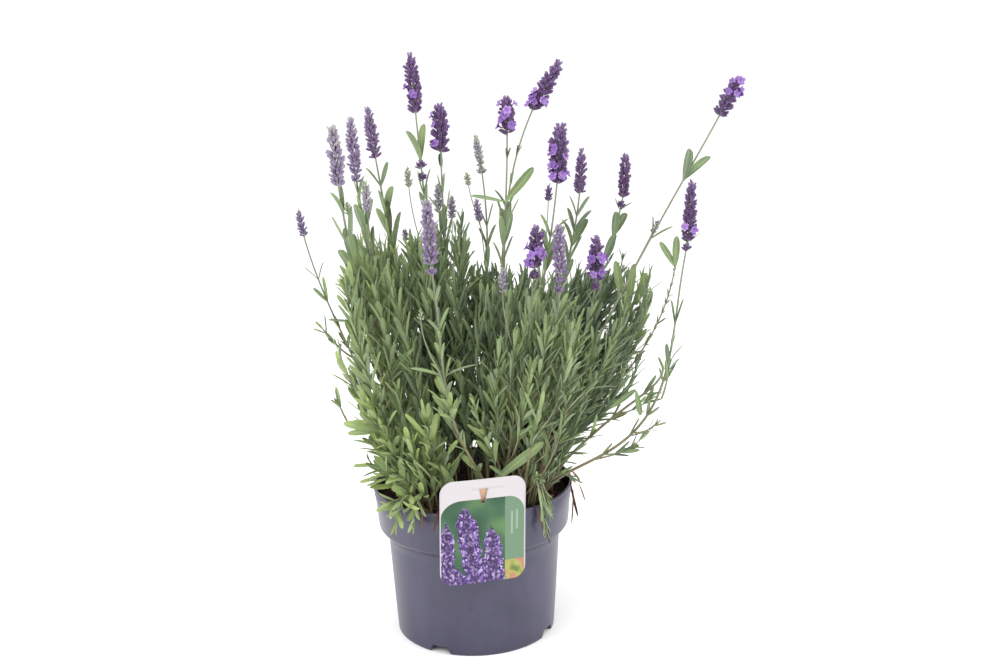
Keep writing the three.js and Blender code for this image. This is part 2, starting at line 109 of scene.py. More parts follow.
# Pairs of leaves on each bare stalk: how far under the spike, leaf length and width, all in millimetres, how far
# they open and how far the pair is turned about the stalk, both in degrees.
STALK_LEAVES = {
    "01": [(28, 27, 6.5, 10, 56), (60, 40, 9.5, 22, 56), (86, 40, 8, 20, 80), (112, 38, 8, 24, 56),
           (74, 36, 7, 26, 120)],
    "02": [(27, 25, 5.5, 9, 0), (58, 34, 9, 16, 60), (88, 38, 8.5, 18, 56), (72, 32, 6, 22, 120),
           (42, 24, 6, 16, 40)],
    "03": [(28, 25, 5, 30, 0), (58, 31, 9.5, 14, 56), (96, 44, 9, 12, 56), (76, 34, 8, 20, 60)],
    "04": [(44, 34, 7.5, 8, 60), (98, 34, 4.5, 18, 100), (76, 26, 4.5, 16, 30)],
    "05": [(16, 15, 5.5, 9, 0), (44, 24, 4, 13, 0), (95, 36, 6, 20, 60), (66, 30, 5, 22, 20), (80, 30, 5, 20, 100)],
    "06": [(34, 16, 4, 20, 0), (102, 34, 5.5, 66, 0), (62, 24, 4, 30, 70)],
    "07": [(62, 26, 5, 20, 30), (82, 26, 4.5, 24, 60), (104, 28, 4.5, 22, 110)],
    "08": [(24, 12, 4, 12, 0), (104, 34, 6, 18, 80), (86, 30, 5, 20, 20), (122, 30, 5, 24, 60)],
    "09": [(48, 13, 4, 12, 0), (76, 14, 4, 14, 60), (125, 36, 6, 24, 90), (100, 26, 4.5, 26, 40)],
    "10": [(52, 26, 5.5, 20, 0), (84, 34, 7, 16, 40), (66, 30, 6, 32, 60), (100, 30, 5, 24, 20),
           (116, 28, 5, 26, 100)],
    "11": [(24, 24, 5, 20, 0), (52, 32, 8, 26, 60), (70, 32, 7, 20, 56), (38, 28, 6, 30, 50), (88, 30, 5, 24, 120)],
    "12": [(14, 14, 3, 40, 0), (40, 27, 8, 12, 56), (66, 30, 8, 16, 90), (84, 30, 6.5, 24, 40),
           (100, 28, 5, 26, 110)],
    "13": [(66, 34, 8.5, 24, 56), (128, 24, 4, 22, 20)],
    "14": [(3, 16, 3, 34, 0), (78, 26, 5, 18, 0), (116, 24, 4, 24, 50)],
    "15": [(22, 16, 4, 20, 40), (44, 24, 4, 22, 80)],
    "16": [(20, 18, 4, 20, 0), (42, 24, 4, 22, 60)],
    "17": [(24, 16, 4, 22, 30), (44, 24, 4, 22, 80)],
    "18": [(44, 20, 3, 26, 0), (66, 24, 3.5, 28, 80)],
}
# Rings of flowers that sit alone under a spike: how far under it, in millimetres.
LONE_WHORLS = {
    "02": [7], "04": [50, 61], "06": [9], "07": [8], "12": [11], "14": [9], "15": [9], "16": [9, 17], "17": [10],
}
# Small side buds: the stem they grow beside, their tip from that stem's spike tip, and their length, all in
# millimetres, and their tone.
SIDE_BUDS = [
    ("02", (14, -35, -53), 28, 0.25), ("04", (-9, 40, -109), 18, 0.1), ("05", (-4, 12, -78), 28, 0.3),
    ("05", (8, 30, -93), 22, 0.4), ("07", (-10, 5, -37), 13, 0.05), ("07", (-1, -15, -60), 22, 0.45),
    ("10", (-9, 40, -61), 15, 0.8), ("15", (-29, -5, -36), 20, 0.35), ("13", (-67, 35, -134), 12, 0.5),
    ("03", (30, 5, -117), 11, 0.45), ("06", (-8, -5, -94), 8, 0.0), ("01", (3, 60, -77), 12, 0.0),
]


# ---- Meshes from numpy surfaces ----
def loft(rings, tint, lengthwise=None):
    """Closed bodies from rings of points, shaped (bodies, rings, points round, 3).

    Each two neighbouring rings are joined by quads, and each end ring is closed by a fan to its middle. UV is the
    share round the ring and the share along the body.
    """
    bodies, steps, around, _ = rings.shape
    ends = rings[:, [0, -1]].mean(axis=2)
    points = np.concatenate([rings.reshape(bodies, -1, 3), ends], axis=1)
    s, k = np.meshgrid(np.arange(steps - 1), np.arange(around), indexing="ij")
    low, right = s * around + k, s * around + (k + 1) % around
    quads = np.stack([low, right, right + around, low + around], axis=-1).reshape(-1, 4)
    turn = np.arange(around)
    last = (steps - 1) * around
    foot = np.stack([np.full(around, steps * around), (turn + 1) % around, turn], axis=-1)
    head = np.stack([np.full(around, steps * around + 1), last + turn, last + (turn + 1) % around], axis=-1)
    offset = (np.arange(bodies) * points.shape[1])[:, None, None]
    along = np.linspace(0, 1, steps) if lengthwise is None else lengthwise
    u = np.concatenate([np.tile(turn / around, steps), [0.5, 0.5]])
    v = np.concatenate([np.repeat(along, around), [0, 1]])
    return {
        "points": points.reshape(-1, 3),
        "quads": (quads[None] + offset).reshape(-1, 4),
        "triangles": (np.concatenate([foot, head])[None] + offset).reshape(-1, 3),
        "uv": np.tile(np.stack([u, v], axis=-1), (bodies, 1)),
        "tint": np.repeat(np.broadcast_to(tint, bodies), points.shape[1]),
    }


def piece(name, surfaces, material, replaces=(), smooth=True, creased=False):
    """One object that rides on the root, from numpy surfaces joined end to end.

    A creased piece keeps its lengthwise edges sharp: those whose two ends have the same share round the ring.
    """
    starts = np.cumsum([0] + [len(s["points"]) for s in surfaces])
    points = np.concatenate([s["points"] for s in surfaces])
    uv = np.concatenate([s["uv"] for s in surfaces])
    tint = np.concatenate([s["tint"] for s in surfaces])
    quads = np.concatenate([s["quads"] + at for s, at in zip(surfaces, starts)])
    triangles = np.concatenate([s["triangles"] + at for s, at in zip(surfaces, starts)])
    corners = np.concatenate([quads.ravel(), triangles.ravel()]).astype(np.int32)
    sizes = np.concatenate([np.full(len(quads), 4), np.full(len(triangles), 3)]).astype(np.int32)

    mesh = bpy.data.meshes.new(name)
    mesh.vertices.add(len(points))
    mesh.vertices.foreach_set("co", points.astype(np.float32).ravel())
    mesh.loops.add(len(corners))
    mesh.loops.foreach_set("vertex_index", corners)
    mesh.polygons.add(len(sizes))
    mesh.polygons.foreach_set("loop_start", np.concatenate([[0], np.cumsum(sizes)[:-1]]).astype(np.int32))
    mesh.polygons.foreach_set("use_smooth", np.full(len(sizes), smooth))
    mesh.update(calc_edges=True)
    layer = mesh.uv_layers.new(name="UVMap")
    layer.data.foreach_set("uv", uv[corners].astype(np.float32).ravel())
    mesh.attributes.new("tint", "FLOAT", "POINT").data.foreach_set("value", tint.astype(np.float32))
    if creased:
        ends = np.empty(len(mesh.edges) * 2, dtype=np.int32)
        mesh.edges.foreach_get("vertices", ends)
        sharp = np.ptp(uv[ends, 0].reshape(-1, 2), axis=1) < 1e-6
        mesh.attributes.new("sharp_edge", "BOOLEAN", "EDGE").data.foreach_set("value", sharp)
    mesh.materials.append(material)
    made = bpy.data.objects.new(name, mesh)
    bpy.context.scene.collection.objects.link(made)
    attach(made, "root")
    if replaces:
        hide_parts(*replaces)
    return made


def unit(vectors):
    """Vectors at length 1."""
    return vectors / np.maximum(np.linalg.norm(vectors, axis=-1, keepdims=True), 1e-12)


def crosswise(tangent):
    """For each tangent, two directions across it: the first as level as it can be, the second square to both."""
    level = np.cross(np.broadcast_to([0.31, 0.95, 0.02], tangent.shape), tangent)
    first = unit(level)
    return first, np.cross(tangent, first)


def spokes(tangent, angle):
    """Directions square to each tangent, at angles round it."""
    a, b = crosswise(tangent)
    return np.cos(angle)[..., None] * a + np.sin(angle)[..., None] * b


def tube(path, radius, tint, around=6):
    """A tube round a path of (points, 3), with a radius at each point, as rings square to the path."""
    tangent = unit(np.gradient(path, axis=0))
    out = spokes(tangent[:, None], np.linspace(0, 2 * np.pi, around, endpoint=False))
    rings = path[:, None] + np.broadcast_to(radius, len(path))[:, None, None] * out
    return loft(rings[None], tint)


def at_share(path, shares):
    """Points and tangents of a path at shares of its length."""
    steps = np.linalg.norm(np.diff(path, axis=0), axis=1)
    place = np.concatenate([[0], np.cumsum(steps)]) / steps.sum()
    points = np.stack([np.interp(shares, place, path[:, k]) for k in range(3)], axis=-1)
    ahead = np.stack([np.interp(np.minimum(shares + 0.02, 1), place, path[:, k]) for k in range(3)], axis=-1)
    behind = np.stack([np.interp(np.maximum(shares - 0.02, 0), place, path[:, k]) for k in range(3)], axis=-1)
    return points, unit(ahead - behind)


def length_of(path):
    """The length of a path of points."""
    return np.linalg.norm(np.diff(path, axis=0), axis=1).sum()


def bend_between(start, leave, end, arrive):
    """A cubic from start to end that leaves along one direction and arrives along another.

    Its two handles are as long as a fixed share of the distance between its ends.
    """
    handle = 0.36
    reach = np.linalg.norm(end - start)
    t = np.linspace(0, 1, PATH_POINTS)[:, None]
    first = start + unit(leave) * reach * handle
    second = end - unit(arrive) * reach * handle
    return (1 - t) ** 3 * start + 3 * t * (1 - t) ** 2 * first + 3 * t**2 * (1 - t) * second + t**3 * end


# ---- The frame's stems ----
def points_of(node):
    """The distinct points of a CAD node's mesh."""
    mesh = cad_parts[node].data
    place = np.empty(len(mesh.vertices) * 3, dtype=np.float32)
    mesh.vertices.foreach_get("co", place)
    return np.unique(np.round(place.reshape(-1, 3).astype(float), 6), axis=0)


def stem_line(number):
    """The line of one stem, from its foot in the soil to its tip, with the shares at its leaf top and spike base.

    The leafy shoot's points are gathered in slices along its chord, whose medians lie on the stem, because the
    leaves stand round it evenly. The stalk gives its square rings, and the spike its two ends. A fifth-degree
    polynomial of the share of the length goes smoothly through them all.
    """
    shoot = points_of("leafy_shoot_" + number)
    foot = shoot[np.argsort(shoot[:, 2])[:4]].mean(axis=0)
    flowering = "flower_stalk_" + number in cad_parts
    if flowering:
        stalk = points_of("flower_stalk_" + number)
        run = stalk[stalk[:, 2].argmax()] - stalk[stalk[:, 2].argmin()]
        stalk = stalk[np.argsort(stalk @ run)]
        rings = stalk[: len(stalk) // 4 * 4].reshape(-1, 4, 3).mean(axis=1)
        spike = points_of("flower_spike_" + number)
        base = spike[np.linalg.norm(spike - rings[-1], axis=1).argmin()]
        tip = spike[np.linalg.norm(spike - rings[-1], axis=1).argmax()]
        rest = [*rings, base, tip]
        top = rings[0]
    else:
        top = shoot[np.linalg.norm(shoot - foot, axis=1).argmax()]
        rest = [top]
    chord = top - foot
    share = (shoot - foot) @ chord / (chord @ chord)
    slices = [shoot[np.abs(share - s) < 0.07] for s in np.linspace(0.1, 0.9, 9)]
    known = np.array([foot, *[np.median(s, axis=0) for s in slices if len(s) > 5], *rest])
    place = np.concatenate([[0], np.cumsum(np.linalg.norm(np.diff(known, axis=0), axis=1))])
    place /= place[-1]
    even = np.linspace(0, 1, 60)
    weight = np.ones(len(known))
    weight[[0, -1]] = 6
    line = np.stack([np.polyval(np.polyfit(place, known[:, k], 5, w=weight), even) for k in range(3)], axis=-1)
    if not flowering:
        return {"number": number, "line": line, "leaf_top": 1.0, "spike_base": None}
    leaf_top = place[len(known) - len(rest)]
    return {"number": number, "line": line, "leaf_top": leaf_top, "spike_base": place[-2]}


def stretch(line, start, end, steps):
    """The part of a line from one share of its length to another."""
    return at_share(line, np.linspace(start, end, steps))[0]


# ---- Leaves ----
LEAF_STATIONS = np.array([0, 0.09, 0.3, 0.55, 0.78, 0.93, 1.0])
LEAF_OUTLINE = np.array([0.24, 0.46, 0.82, 1.0, 0.94, 0.68, 0.22])


def leaves(base, along, side, length, width, bend, tint):
    """Leaf blades as closed bodies of seven four-cornered rings.

    The midrib leaves the base along its direction and bends away from the blade's upper face with the square of the
    distance. Each ring's half width follows the outline of a strap leaf, widest past its middle, with its edges lifted
    a little over the midrib, and its thickness is the set leaf thickness at the widest ring and less towards the ends.
    """
    s = LEAF_STATIONS[None, :, None]
    upper = np.cross(along, side)
    length, width, bend = (np.asarray(value)[:, None, None] for value in (length, width, bend))
    midrib = base[:, None] + length * (s * along[:, None] - bend * s**2 * upper[:, None])
    tangent = unit(along[:, None] - 2 * bend * s * upper[:, None])
    across = np.broadcast_to(side[:, None], tangent.shape)
    over = np.cross(tangent, across)
    half = width / 2 * LEAF_OUTLINE[None, :, None]
    thick = LEAF_THICKNESS / 2 * (0.4 + 0.6 * LEAF_OUTLINE[None, :, None])
    lift = half * 0.34
    edge, raised, rib = half * across, lift * over, thick * over
    rings = np.stack([midrib + edge + raised, midrib + rib, midrib - edge + raised, midrib - rib], axis=2)
    return loft(rings, tint, LEAF_STATIONS)


def leaf_pairs(path, pitch, size, width, opening, tint, start=0.0, tuft=0.0):
    """Pairs of leaves up a path, each a quarter turn from the last, smaller towards the path's tip.

    tuft is the chance of a tuft of small young leaves in each leaf's joint.
    """
    length = length_of(path)
    count = max(2, int(length * (1 - start) / pitch))
    shares = start + (1 - start) * (np.arange(count) + 0.6) / (count + 0.2)
    shares = np.clip(shares + RNG.normal(0, 0.12 / count, count), 0, 1)
    points, tangents = at_share(path, shares)
    first = RNG.uniform(0, np.pi)
    turn = first + np.arange(count) * np.pi / 2 + RNG.normal(0, 0.22, count)
    made = []
    for half in (0, np.pi):
        radial = spokes(tangents, turn + half)
        tip_share = np.clip((shares - 0.72) / 0.28, 0, 1)
        angle = opening * (1 - 0.6 * tip_share) + RNG.normal(0, 0.13, count)
        long = size * (1 - 0.5 * tip_share) * RNG.uniform(0.72, 1.18, count)
        wide = width * (1 - 0.35 * tip_share) * RNG.uniform(0.75, 1.25, count)
        tone = np.clip(tint + 0.16 * tip_share + RNG.normal(0, 0.12, count), 0, 1)
        made.append(sprouts(points, tangents, radial, angle, long, wide, tone))
        for inner in range(3):
            pick = RNG.random(count) < tuft
            if not pick.any():
                continue
            yaw = (inner - 1) * 0.8 + RNG.normal(0, 0.2, count)
            aside = np.cos(yaw)[:, None] * radial + np.sin(yaw)[:, None] * np.cross(tangents, radial)
            made.append(
                sprouts(
                    points[pick] + tangents[pick] * MM,
                    tangents[pick],
                    aside[pick],
                    (angle * 0.62 + RNG.normal(0, 0.1, count))[pick],
                    (long * RNG.uniform(0.4, 0.72, count))[pick],
                    (wide * 0.66)[pick],
                    np.clip(tone + 0.1, 0, 1)[pick],
                )
            )
    return made


def sprouts(points, tangents, radial, angle, long, wide, tone):
    """Leaves that stand out from a stem at points, opened from it by angle towards radial."""
    along = unit(np.cos(angle)[:, None] * tangents + np.sin(angle)[:, None] * radial)
    side = unit(np.cross(tangents, radial))
    twist = RNG.normal(0, 0.3, len(points))[:, None]
    side = unit(np.cos(twist) * side + np.sin(twist) * np.cross(along, side))
    bend = RNG.normal(0.02, 0.1, len(points))
    return leaves(points, along, side, long, wide, bend, tone)


def clear_of_pot(path):
    """A path moved inwards where it would pass through the pot's rim or wall."""
    inside_rim, over_rim = 5 * MM, 3 * MM
    low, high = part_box("nursery_pot")
    inner = (high[0] - low[0]) / 2 - inside_rim
    reach = np.hypot(path[:, 0], path[:, 1])
    share = np.where((path[:, 2] < high[2] + over_rim) & (reach > inner), inner / np.maximum(reach, 1e-6), 1.0)
    return np.column_stack([path[:, :2] * share[:, None], path[:, 2]])


def side_shoots(stem, count, full):
    """Side shoots of one main stem: each leaves it low down, swings out, and turns up beside the stem's own line.

    It reaches up a share of what is left of the stem. The side shoots of a full stem reach farther up, and their
    ends stay inside the plant's foliage box.
    """
    over = OVERTOP.get(stem["number"], 0) * MM
    least = 0.5 if full else 0.15
    paths = []
    leafy = stretch(stem["line"], 0.05, stem["leaf_top"], 40)
    tall = length_of(leafy)
    for i in range(count):
        share = 0.02 + 0.6 * (i + RNG.uniform(0.0, 0.9)) / count
        reach = (1 - share) * RNG.uniform(least, least + 0.45)
        ends, ways = at_share(leafy, np.array([share, share + reach]))
        heading = i * GOLDEN_ANGLE + RNG.uniform(-0.4, 0.4)
        out = np.array([np.cos(heading), np.sin(heading), 0.0])
        end = ends[1] + out * (tall * reach * RNG.uniform(0.06, 0.2) + 6 * MM)
        end[2] = min(end[2] + max(over, 0), leafy[-1, 2] - 4 * MM + over)
        if full:
            end = np.clip(end, *FOLIAGE)
        paths.append(clear_of_pot(bend_between(ends[0], ways[0] * 0.75 + out * 0.65, end, ways[1] + UP * 0.4)))
    return paths


def young_shoots(count):
    """Short shoots straight from the soil: they stand up in the middle and lean outwards near the rim."""
    paths = []
    for i in range(count):
        heading = i * GOLDEN_ANGLE
        r = SOIL_RADIUS * 0.82 * np.sqrt((i + 0.5) / count)
        out = np.array([np.sin(heading), -np.cos(heading), 0.0])
        start = out * r
        if start[1] < -18 * MM and start[0] > -28 * MM:
            continue  # the front, behind the label and to its right, stays open
        start[2] = soil_height(start[0], start[1]) - 2 * MM
        tall = RNG.uniform(70, 150) * MM * (1 - 0.25 * r / SOIL_RADIUS)
        lean = 0.1 + 0.5 * (r / SOIL_RADIUS) ** 2 + RNG.normal(0, 0.08)
        aside = np.array([-out[1], out[0], 0]) * RNG.normal(0, 0.12)
        end = start + tall * unit(UP + out * lean + aside)
        paths.append(clear_of_pot(bend_between(start, UP + out * lean * 0.3, end, UP + out * lean)))
    return paths


def right_shoots(count):
    """Slender shoots that fill the plant's right side: each bends out from the soil and up to an end whose reach to
    the right grows with its height."""
    paths = []
    for i in range(count):
        height = (i + 0.5) / count
        start = np.array([RNG.uniform(48, 66), RNG.uniform(-14, 52), 0]) * MM
        start[2] = soil_height(start[0], start[1])
        reach = 112 + 62 * min(1.0, height * 2.2) - RNG.uniform(0, 42)
        end = np.array([reach, RNG.uniform(0, 84), 205 + 132 * height]) * MM
        out = unit(end - start)
        paths.append(clear_of_pot(bend_between(start, UP + out * 0.5, end, UP + out * 0.25)))
    return paths


def arch(foot, over, tip):
    """The parabola from a foot, which is in the soil where it has no height, through a point to a tip."""
    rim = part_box("nursery_pot")[1].z
    x, y, *above = np.array(foot) * MM
    z = rim + above[0] if above else soil_height(x, y)
    ends = np.array([[x, y, z], np.array(over) * MM + UP * rim, np.array(tip) * MM + UP * rim])
    t = np.linspace(0, 1, PATH_POINTS)[:, None]
    return (2 * t - 1) * (t - 1) * ends[0] + 4 * t * (1 - t) * ends[1] + t * (2 * t - 1) * ends[2]


def single_leaves(rows):
    """Lone leaves, each from its start to its end, facing forwards and up, and bent back by a share of its length.

    A row holds the start and the end in millimetres from the pot's middle and above its rim, the width in
    millimetres, the bend and the tint.
    """
    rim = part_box("nursery_pot")[1].z
    starts, ends, wide, bend, tone = (np.array(values, dtype=float) for values in zip(*rows))
    starts, ends = starts * MM + UP * rim, ends * MM + UP * rim
    reach = np.linalg.norm(ends - starts, axis=1)
    along = unit(ends - starts)
    side = np.cross(np.array([0, -0.85, 0.5]), along) + RNG.normal(0, 0.2, along.shape)
    side = unit(side - along * (side * along).sum(axis=1, keepdims=True))
    return leaves(starts, along, side, reach, wide * MM, bend, tone)


# ---- Flowers ----
def calyces(base, along, length, width, tint):
    """Flower cups: rings that widen from a narrow foot to a toothed mouth, and one more ring sunk inside it.

    Every other point of the mouth stands higher, which makes its teeth.
    """
    s = np.array([0, 0.25, 0.62, 1.0, 0.84])
    swell = np.array([0.3, 0.78, 1.0, 0.92, 0.5])
    angle = np.linspace(0, 2 * np.pi, 6, endpoint=False)
    out = spokes(along[:, None], angle)
    teeth = 0.07 * np.array([0, 0, 0, 1, 0])[:, None] * np.cos(3 * angle)
    middle = base[:, None, None] + (length[:, None, None] * (s[:, None] + teeth))[..., None] * along[:, None, None]
    rings = middle + (width[:, None] / 2 * swell)[..., None, None] * out[:, None]
    return loft(rings, tint, np.array([0, 0.25, 0.62, 0.94, 1.0]))


def whorl(centre, axis, radius, count, opening, size, turn):
    """Where the cups of one ring sit and point: round the axis, opened from it, each a little off its place."""
    radial = spokes(axis[None], turn + 2 * np.pi * np.arange(count) / count + RNG.normal(0, 0.14, count))
    lean = opening + RNG.normal(0, 0.16, count)
    along = unit(np.cos(lean)[:, None] * axis + np.sin(lean)[:, None] * radial)
    base = centre + radial * radius + axis * RNG.normal(0, 0.6 * MM, count)[:, None]
    long = CALYX_LENGTH * size * RNG.uniform(0.82, 1.12, count)
    return base, along, long, CALYX_WIDTH * size * RNG.uniform(0.85, 1.1, count)


def flower_spike(base, tip, tone, bulk=1.0):
    """The cups of a spike from base to tip: double rings of flowers, nearly as full above as below, and a blunt
    top of small buds. Tone is the lowest ring's, and the top is a little paler and greyer."""
    axis = unit(tip - base)
    length = np.linalg.norm(tip - base) - CALYX_LENGTH * bulk * 0.8
    rings = max(1, int(round(length / WHORL_PITCH / bulk**0.5)))
    made, tints = [], []
    for i in range(rings):
        share = i / rings
        size = bulk * (0.94 + 0.1 * np.sin(np.pi * share)) * (1 - 0.3 * share**4)
        for layer in (0, 1):
            centre = base + axis * length * (i + 0.42 * layer) / rings
            opening = (0.95 - 0.28 * layer) * (1 - 0.45 * share**3)
            cups = whorl(centre, axis, 1.3 * MM * size, 6, opening, size, i * 0.5 + layer * 0.52)
            made.append(cups)
            tints.append(np.full(6, tone - 0.16 * share**2))
    made.append(whorl(base + axis * length, axis, 0.9 * MM * bulk, 6, 0.32, bulk * 0.72, 0.3))
    tints.append(np.full(6, tone - 0.25))
    parts = [np.concatenate(values) for values in zip(*made)]
    tint = np.concatenate(tints)
    return calyces(*parts, np.clip(tint + RNG.normal(0, 0.07, len(tint)), 0, 1))


def corollas(base, axis, size, tint):
    """Open flowers: a narrow tube that spreads into a two-lipped limb of five rounded lobes, as closed thin shells.

    The inner face goes out from the throat to the rim and the outer face comes back. The rim's radius swells five
    times round, more on its lower lip, and the limb dips between the lobes.
    """
    around = 20
    angle = np.linspace(0, 2 * np.pi, around, endpoint=False)
    lobes = 0.72 + 0.28 * np.abs(np.cos(2.5 * angle)) ** 0.6
    lobes = lobes * (1 + 0.22 * np.cos(angle))
    out = spokes(axis[:, None], angle)
    reach = [0.1, 0.13, 0.2, 0.62, 1.0, 0.98, 0.6, 0.16, 0.06]
    height = [-0.9, -0.5, 0.0, 0.3, 0.36, 0.42, 0.4, 0.16, 0.02]
    spread = [0.0, 0.0, 0.2, 0.8, 1.0, 1.0, 0.8, 0.2, 0.0]
    rings = []
    for r, h, k in zip(reach, height, spread):
        wide = r * (1 - k + k * lobes)
        rise = h - 0.16 * k * np.cos(5 * angle + np.pi)
        rings.append(
            base[:, None]
            + (size[:, None] / 2 * wide)[..., None] * out
            + (size[:, None] / 2 * rise)[..., None] * axis[:, None]
        )
    return loft(np.stack(rings, axis=1), tint)


def open_flowers(base, tip, count, low, high):
    """Open flowers on a spike between two shares of its length, each standing out from a random side of it."""
    axis = unit(tip - base)
    angle = RNG.uniform(0, 2 * np.pi, count)
    angle[: (count + 1) // 2] = RNG.uniform(-2.6, -0.5, (count + 1) // 2)
    radial = spokes(axis[None], angle)
    facing = unit(radial + axis * RNG.uniform(0.0, 0.7, count)[:, None])
    share = RNG.uniform(low, high, count)[:, None]
    place = base + (tip - base) * share + radial * CALYX_LENGTH * 0.98
    return corollas(place, facing, PETALS_ACROSS * RNG.uniform(0.72, 1.05, count), RNG.uniform(0.1, 0.9, count))


# ---- The pot ----
POT_WALL = 1.4 * MM
POT_FLOOR = 2 * MM
BAY_RADIUS = 52 * MM  # the four drain bays run from here out to the wall
NOTCH_TURN = np.radians(-26)  # from the front to the first notch's middle
NOTCH_WIDTH = 22 * MM
NOTCH_TOP_WIDTH = 15 * MM
NOTCH_HEIGHT = 7 * MM


def pot_wall():
    """The heights of the CAD pot's outer corners above its notches, and its radius at each."""
    cad = points_of("nursery_pot")
    radius, height = np.hypot(cad[:, 0], cad[:, 1]), np.round(cad[:, 2], 4)
    levels = np.unique(height[height > 20 * MM])
    foot = radius[np.abs(height - 1.2 * MM) < 0.2 * MM].max()
    return np.array([0, *levels]), np.array([foot, *[radius[height == level].max() for level in levels]])


def notch_lift(turn, foot):
    """How far the underside is raised at each angle: a trapezoid over each of the four notches."""
    quarter = np.pi / 2
    aside = np.abs(np.mod(turn - NOTCH_TURN + quarter / 2, quarter) - quarter / 2) * foot
    share = (NOTCH_WIDTH / 2 - aside) / ((NOTCH_WIDTH - NOTCH_TOP_WIDTH) / 2)
    return NOTCH_HEIGHT * np.clip(share, 0, 1)


def nursery_pot():
    """The pot as one wall carried round its axis: under the base, up the outside, over the bead and down inside.

    A row of the profile is a radius and a height. Over each notch the rows near the ground are raised to stay
    above the notch's roof, and a row on the wall takes the wall's radius at the height where it then stands.
    """
    levels, radii = pot_wall()
    foot, rim, height = radii[0], radii[-1], levels[-1]
    bead = levels[levels < height - 1.5 * MM][-1]
    corners = np.array([0, NOTCH_TOP_WIDTH / 2, NOTCH_WIDTH / 2]) / foot
    turn = np.concatenate([np.linspace(0, 2 * np.pi, 216, endpoint=False)]
                          + [NOTCH_TURN + k * np.pi / 2 + side * corners for k in range(4) for side in (-1, 1)])
    turn = np.unique(np.round(np.mod(turn, 2 * np.pi), 5))
    lift = notch_lift(turn, foot)

    smooth = np.linspace(levels[1], levels[5], 13)
    shoulder = smooth_curve(levels[:7], radii[:7], smooth)
    wall_z = np.concatenate([[0, 4 * MM, 9 * MM, 14 * MM, 30 * MM, 60 * MM, 90 * MM], smooth, [bead - 16 * MM, bead]])
    body = np.interp(wall_z[:7], levels[:2], radii[:2])
    wall_r = np.concatenate([body, shoulder, np.interp(wall_z[-2:], levels, radii)])

    rows = []

    def ring(radius, z):
        rows.append(np.broadcast_arrays(radius, z, turn)[:2])

    ring(0.4 * MM, 0)
    ring(BAY_RADIUS - 1 * MM, 0)
    ring(BAY_RADIUS, np.minimum(lift, 0.3 * MM))
    ring(BAY_RADIUS + 0.4 * MM, lift)
    ring(foot - 2 * MM, lift)
    ring(foot - 0.8 * MM, lift)
    for z in wall_z:
        raised = np.maximum(z, np.minimum(lift + (0.6 + z / MM * 0.2) * MM, z + lift))
        raised = np.maximum(raised, 0.8 * MM) if z < 14 * MM else np.full_like(turn, z)
        ring(np.interp(raised, wall_z, wall_r), raised)
    for inset, drop in [(0.5, -0.5), (0.1, -0.8), (0, -1.3)]:
        ring(rim - inset * MM, bead - drop * MM)
    for inset, drop in [(0, 0.8), (0.25, 0.25), (0.8, 0), (2.0, 0), (2.4, 0.2), (2.6, 0.8)]:
        ring(rim - inset * MM, height - drop * MM)
    for z in wall_z[:6:-1]:
        ring(np.interp(z, wall_z, wall_r) - POT_WALL, z)
    floor = np.maximum(POT_FLOOR, lift + POT_WALL)
    for z in (60 * MM, 30 * MM):
        ring(np.interp(z, wall_z, wall_r) - POT_WALL, z)
    ring(np.interp(floor, wall_z, wall_r) - POT_WALL, floor)
    ring(BAY_RADIUS - 1 * MM, floor)
    ring(BAY_RADIUS - 1.4 * MM, POT_FLOOR)
    ring(0.4 * MM, POT_FLOOR)
    radius, z = (np.stack(values) for values in zip(*rows))
    rings = np.stack([radius * np.sin(turn), -radius * np.cos(turn), z], axis=-1)
    return loft(rings[None], 0.5)


def smooth_curve(x, y, at):
    """The cubic Hermite curve through points, whose slope at each is the slope between its neighbours."""
    slope = np.gradient(y, x)
    i = np.clip(np.searchsorted(x, at) - 1, 0, len(x) - 2)
    step = x[i + 1] - x[i]
    t = (at - x[i]) / step
    ends = (2 * t**3 - 3 * t**2 + 1) * y[i] + (3 * t**2 - 2 * t**3) * y[i + 1]
    return ends + step * ((t**3 - 2 * t**2 + t) * slope[i] + (t**3 - t**2) * slope[i + 1])


# ---- The soil ----
def soil_size():
    """The CAD soil's radius, its height at the wall, and how far its top swells up from there."""
    points = points_of("potting_soil")
    reach = np.hypot(points[:, 0], points[:, 1])
    edge = points[reach > reach.max() * 0.995][:, 2].max()
    return reach.max(), edge, points[:, 2].max() - edge


SOIL_RADIUS, SOIL_EDGE, SOIL_SWELL = soil_size()


def soil_height(x, y):
    """The soil's top: a low dome whose edge meets the wall, with lumps from sums of waves."""
    share = np.hypot(x, y) / SOIL_RADIUS
    lumps = sum(
        size * np.sin(x / MM / wave + a) * np.cos(y / MM / wave * 1.13 + b)
        for size, wave, a, b in [(1.1, 9, 0.3, 1.1), (0.8, 3.7, 2.1, 0.4), (0.5, 1.6, 1.2, 2.6)]
    )
    return SOIL_EDGE + SOIL_SWELL * (1 - share**2) + (lumps - 1.2) * 0.7 * MM


def soil_body():
    """The soil from the pot's floor up: the wall's taper, then rings of the top drawn in to the middle."""
    turn = np.linspace(0, 2 * np.pi, 200, endpoint=False)
    levels, radii = pot_wall()
    below = np.sort([NOTCH_HEIGHT + 3 * MM, 40 * MM, 70 * MM, *levels[1:-3], SOIL_EDGE - 4 * MM])
    wall = np.interp(below, levels, radii) - POT_WALL - 1.2 * MM
    share = np.linspace(0.994, 0.03, 70)
    r = np.concatenate([wall, share * SOIL_RADIUS])
    x, y = r[:, None] * np.sin(turn), -r[:, None] * np.cos(turn)
    z = np.broadcast_to(np.concatenate([below, share])[:, None], x.shape).copy()
    z[len(below):] = soil_height(x, y)[len(below):] + RNG.normal(0, 0.3 * MM, x.shape)[len(below):]
    return loft(np.stack([x, y, z], axis=-1)[None], 0.35)


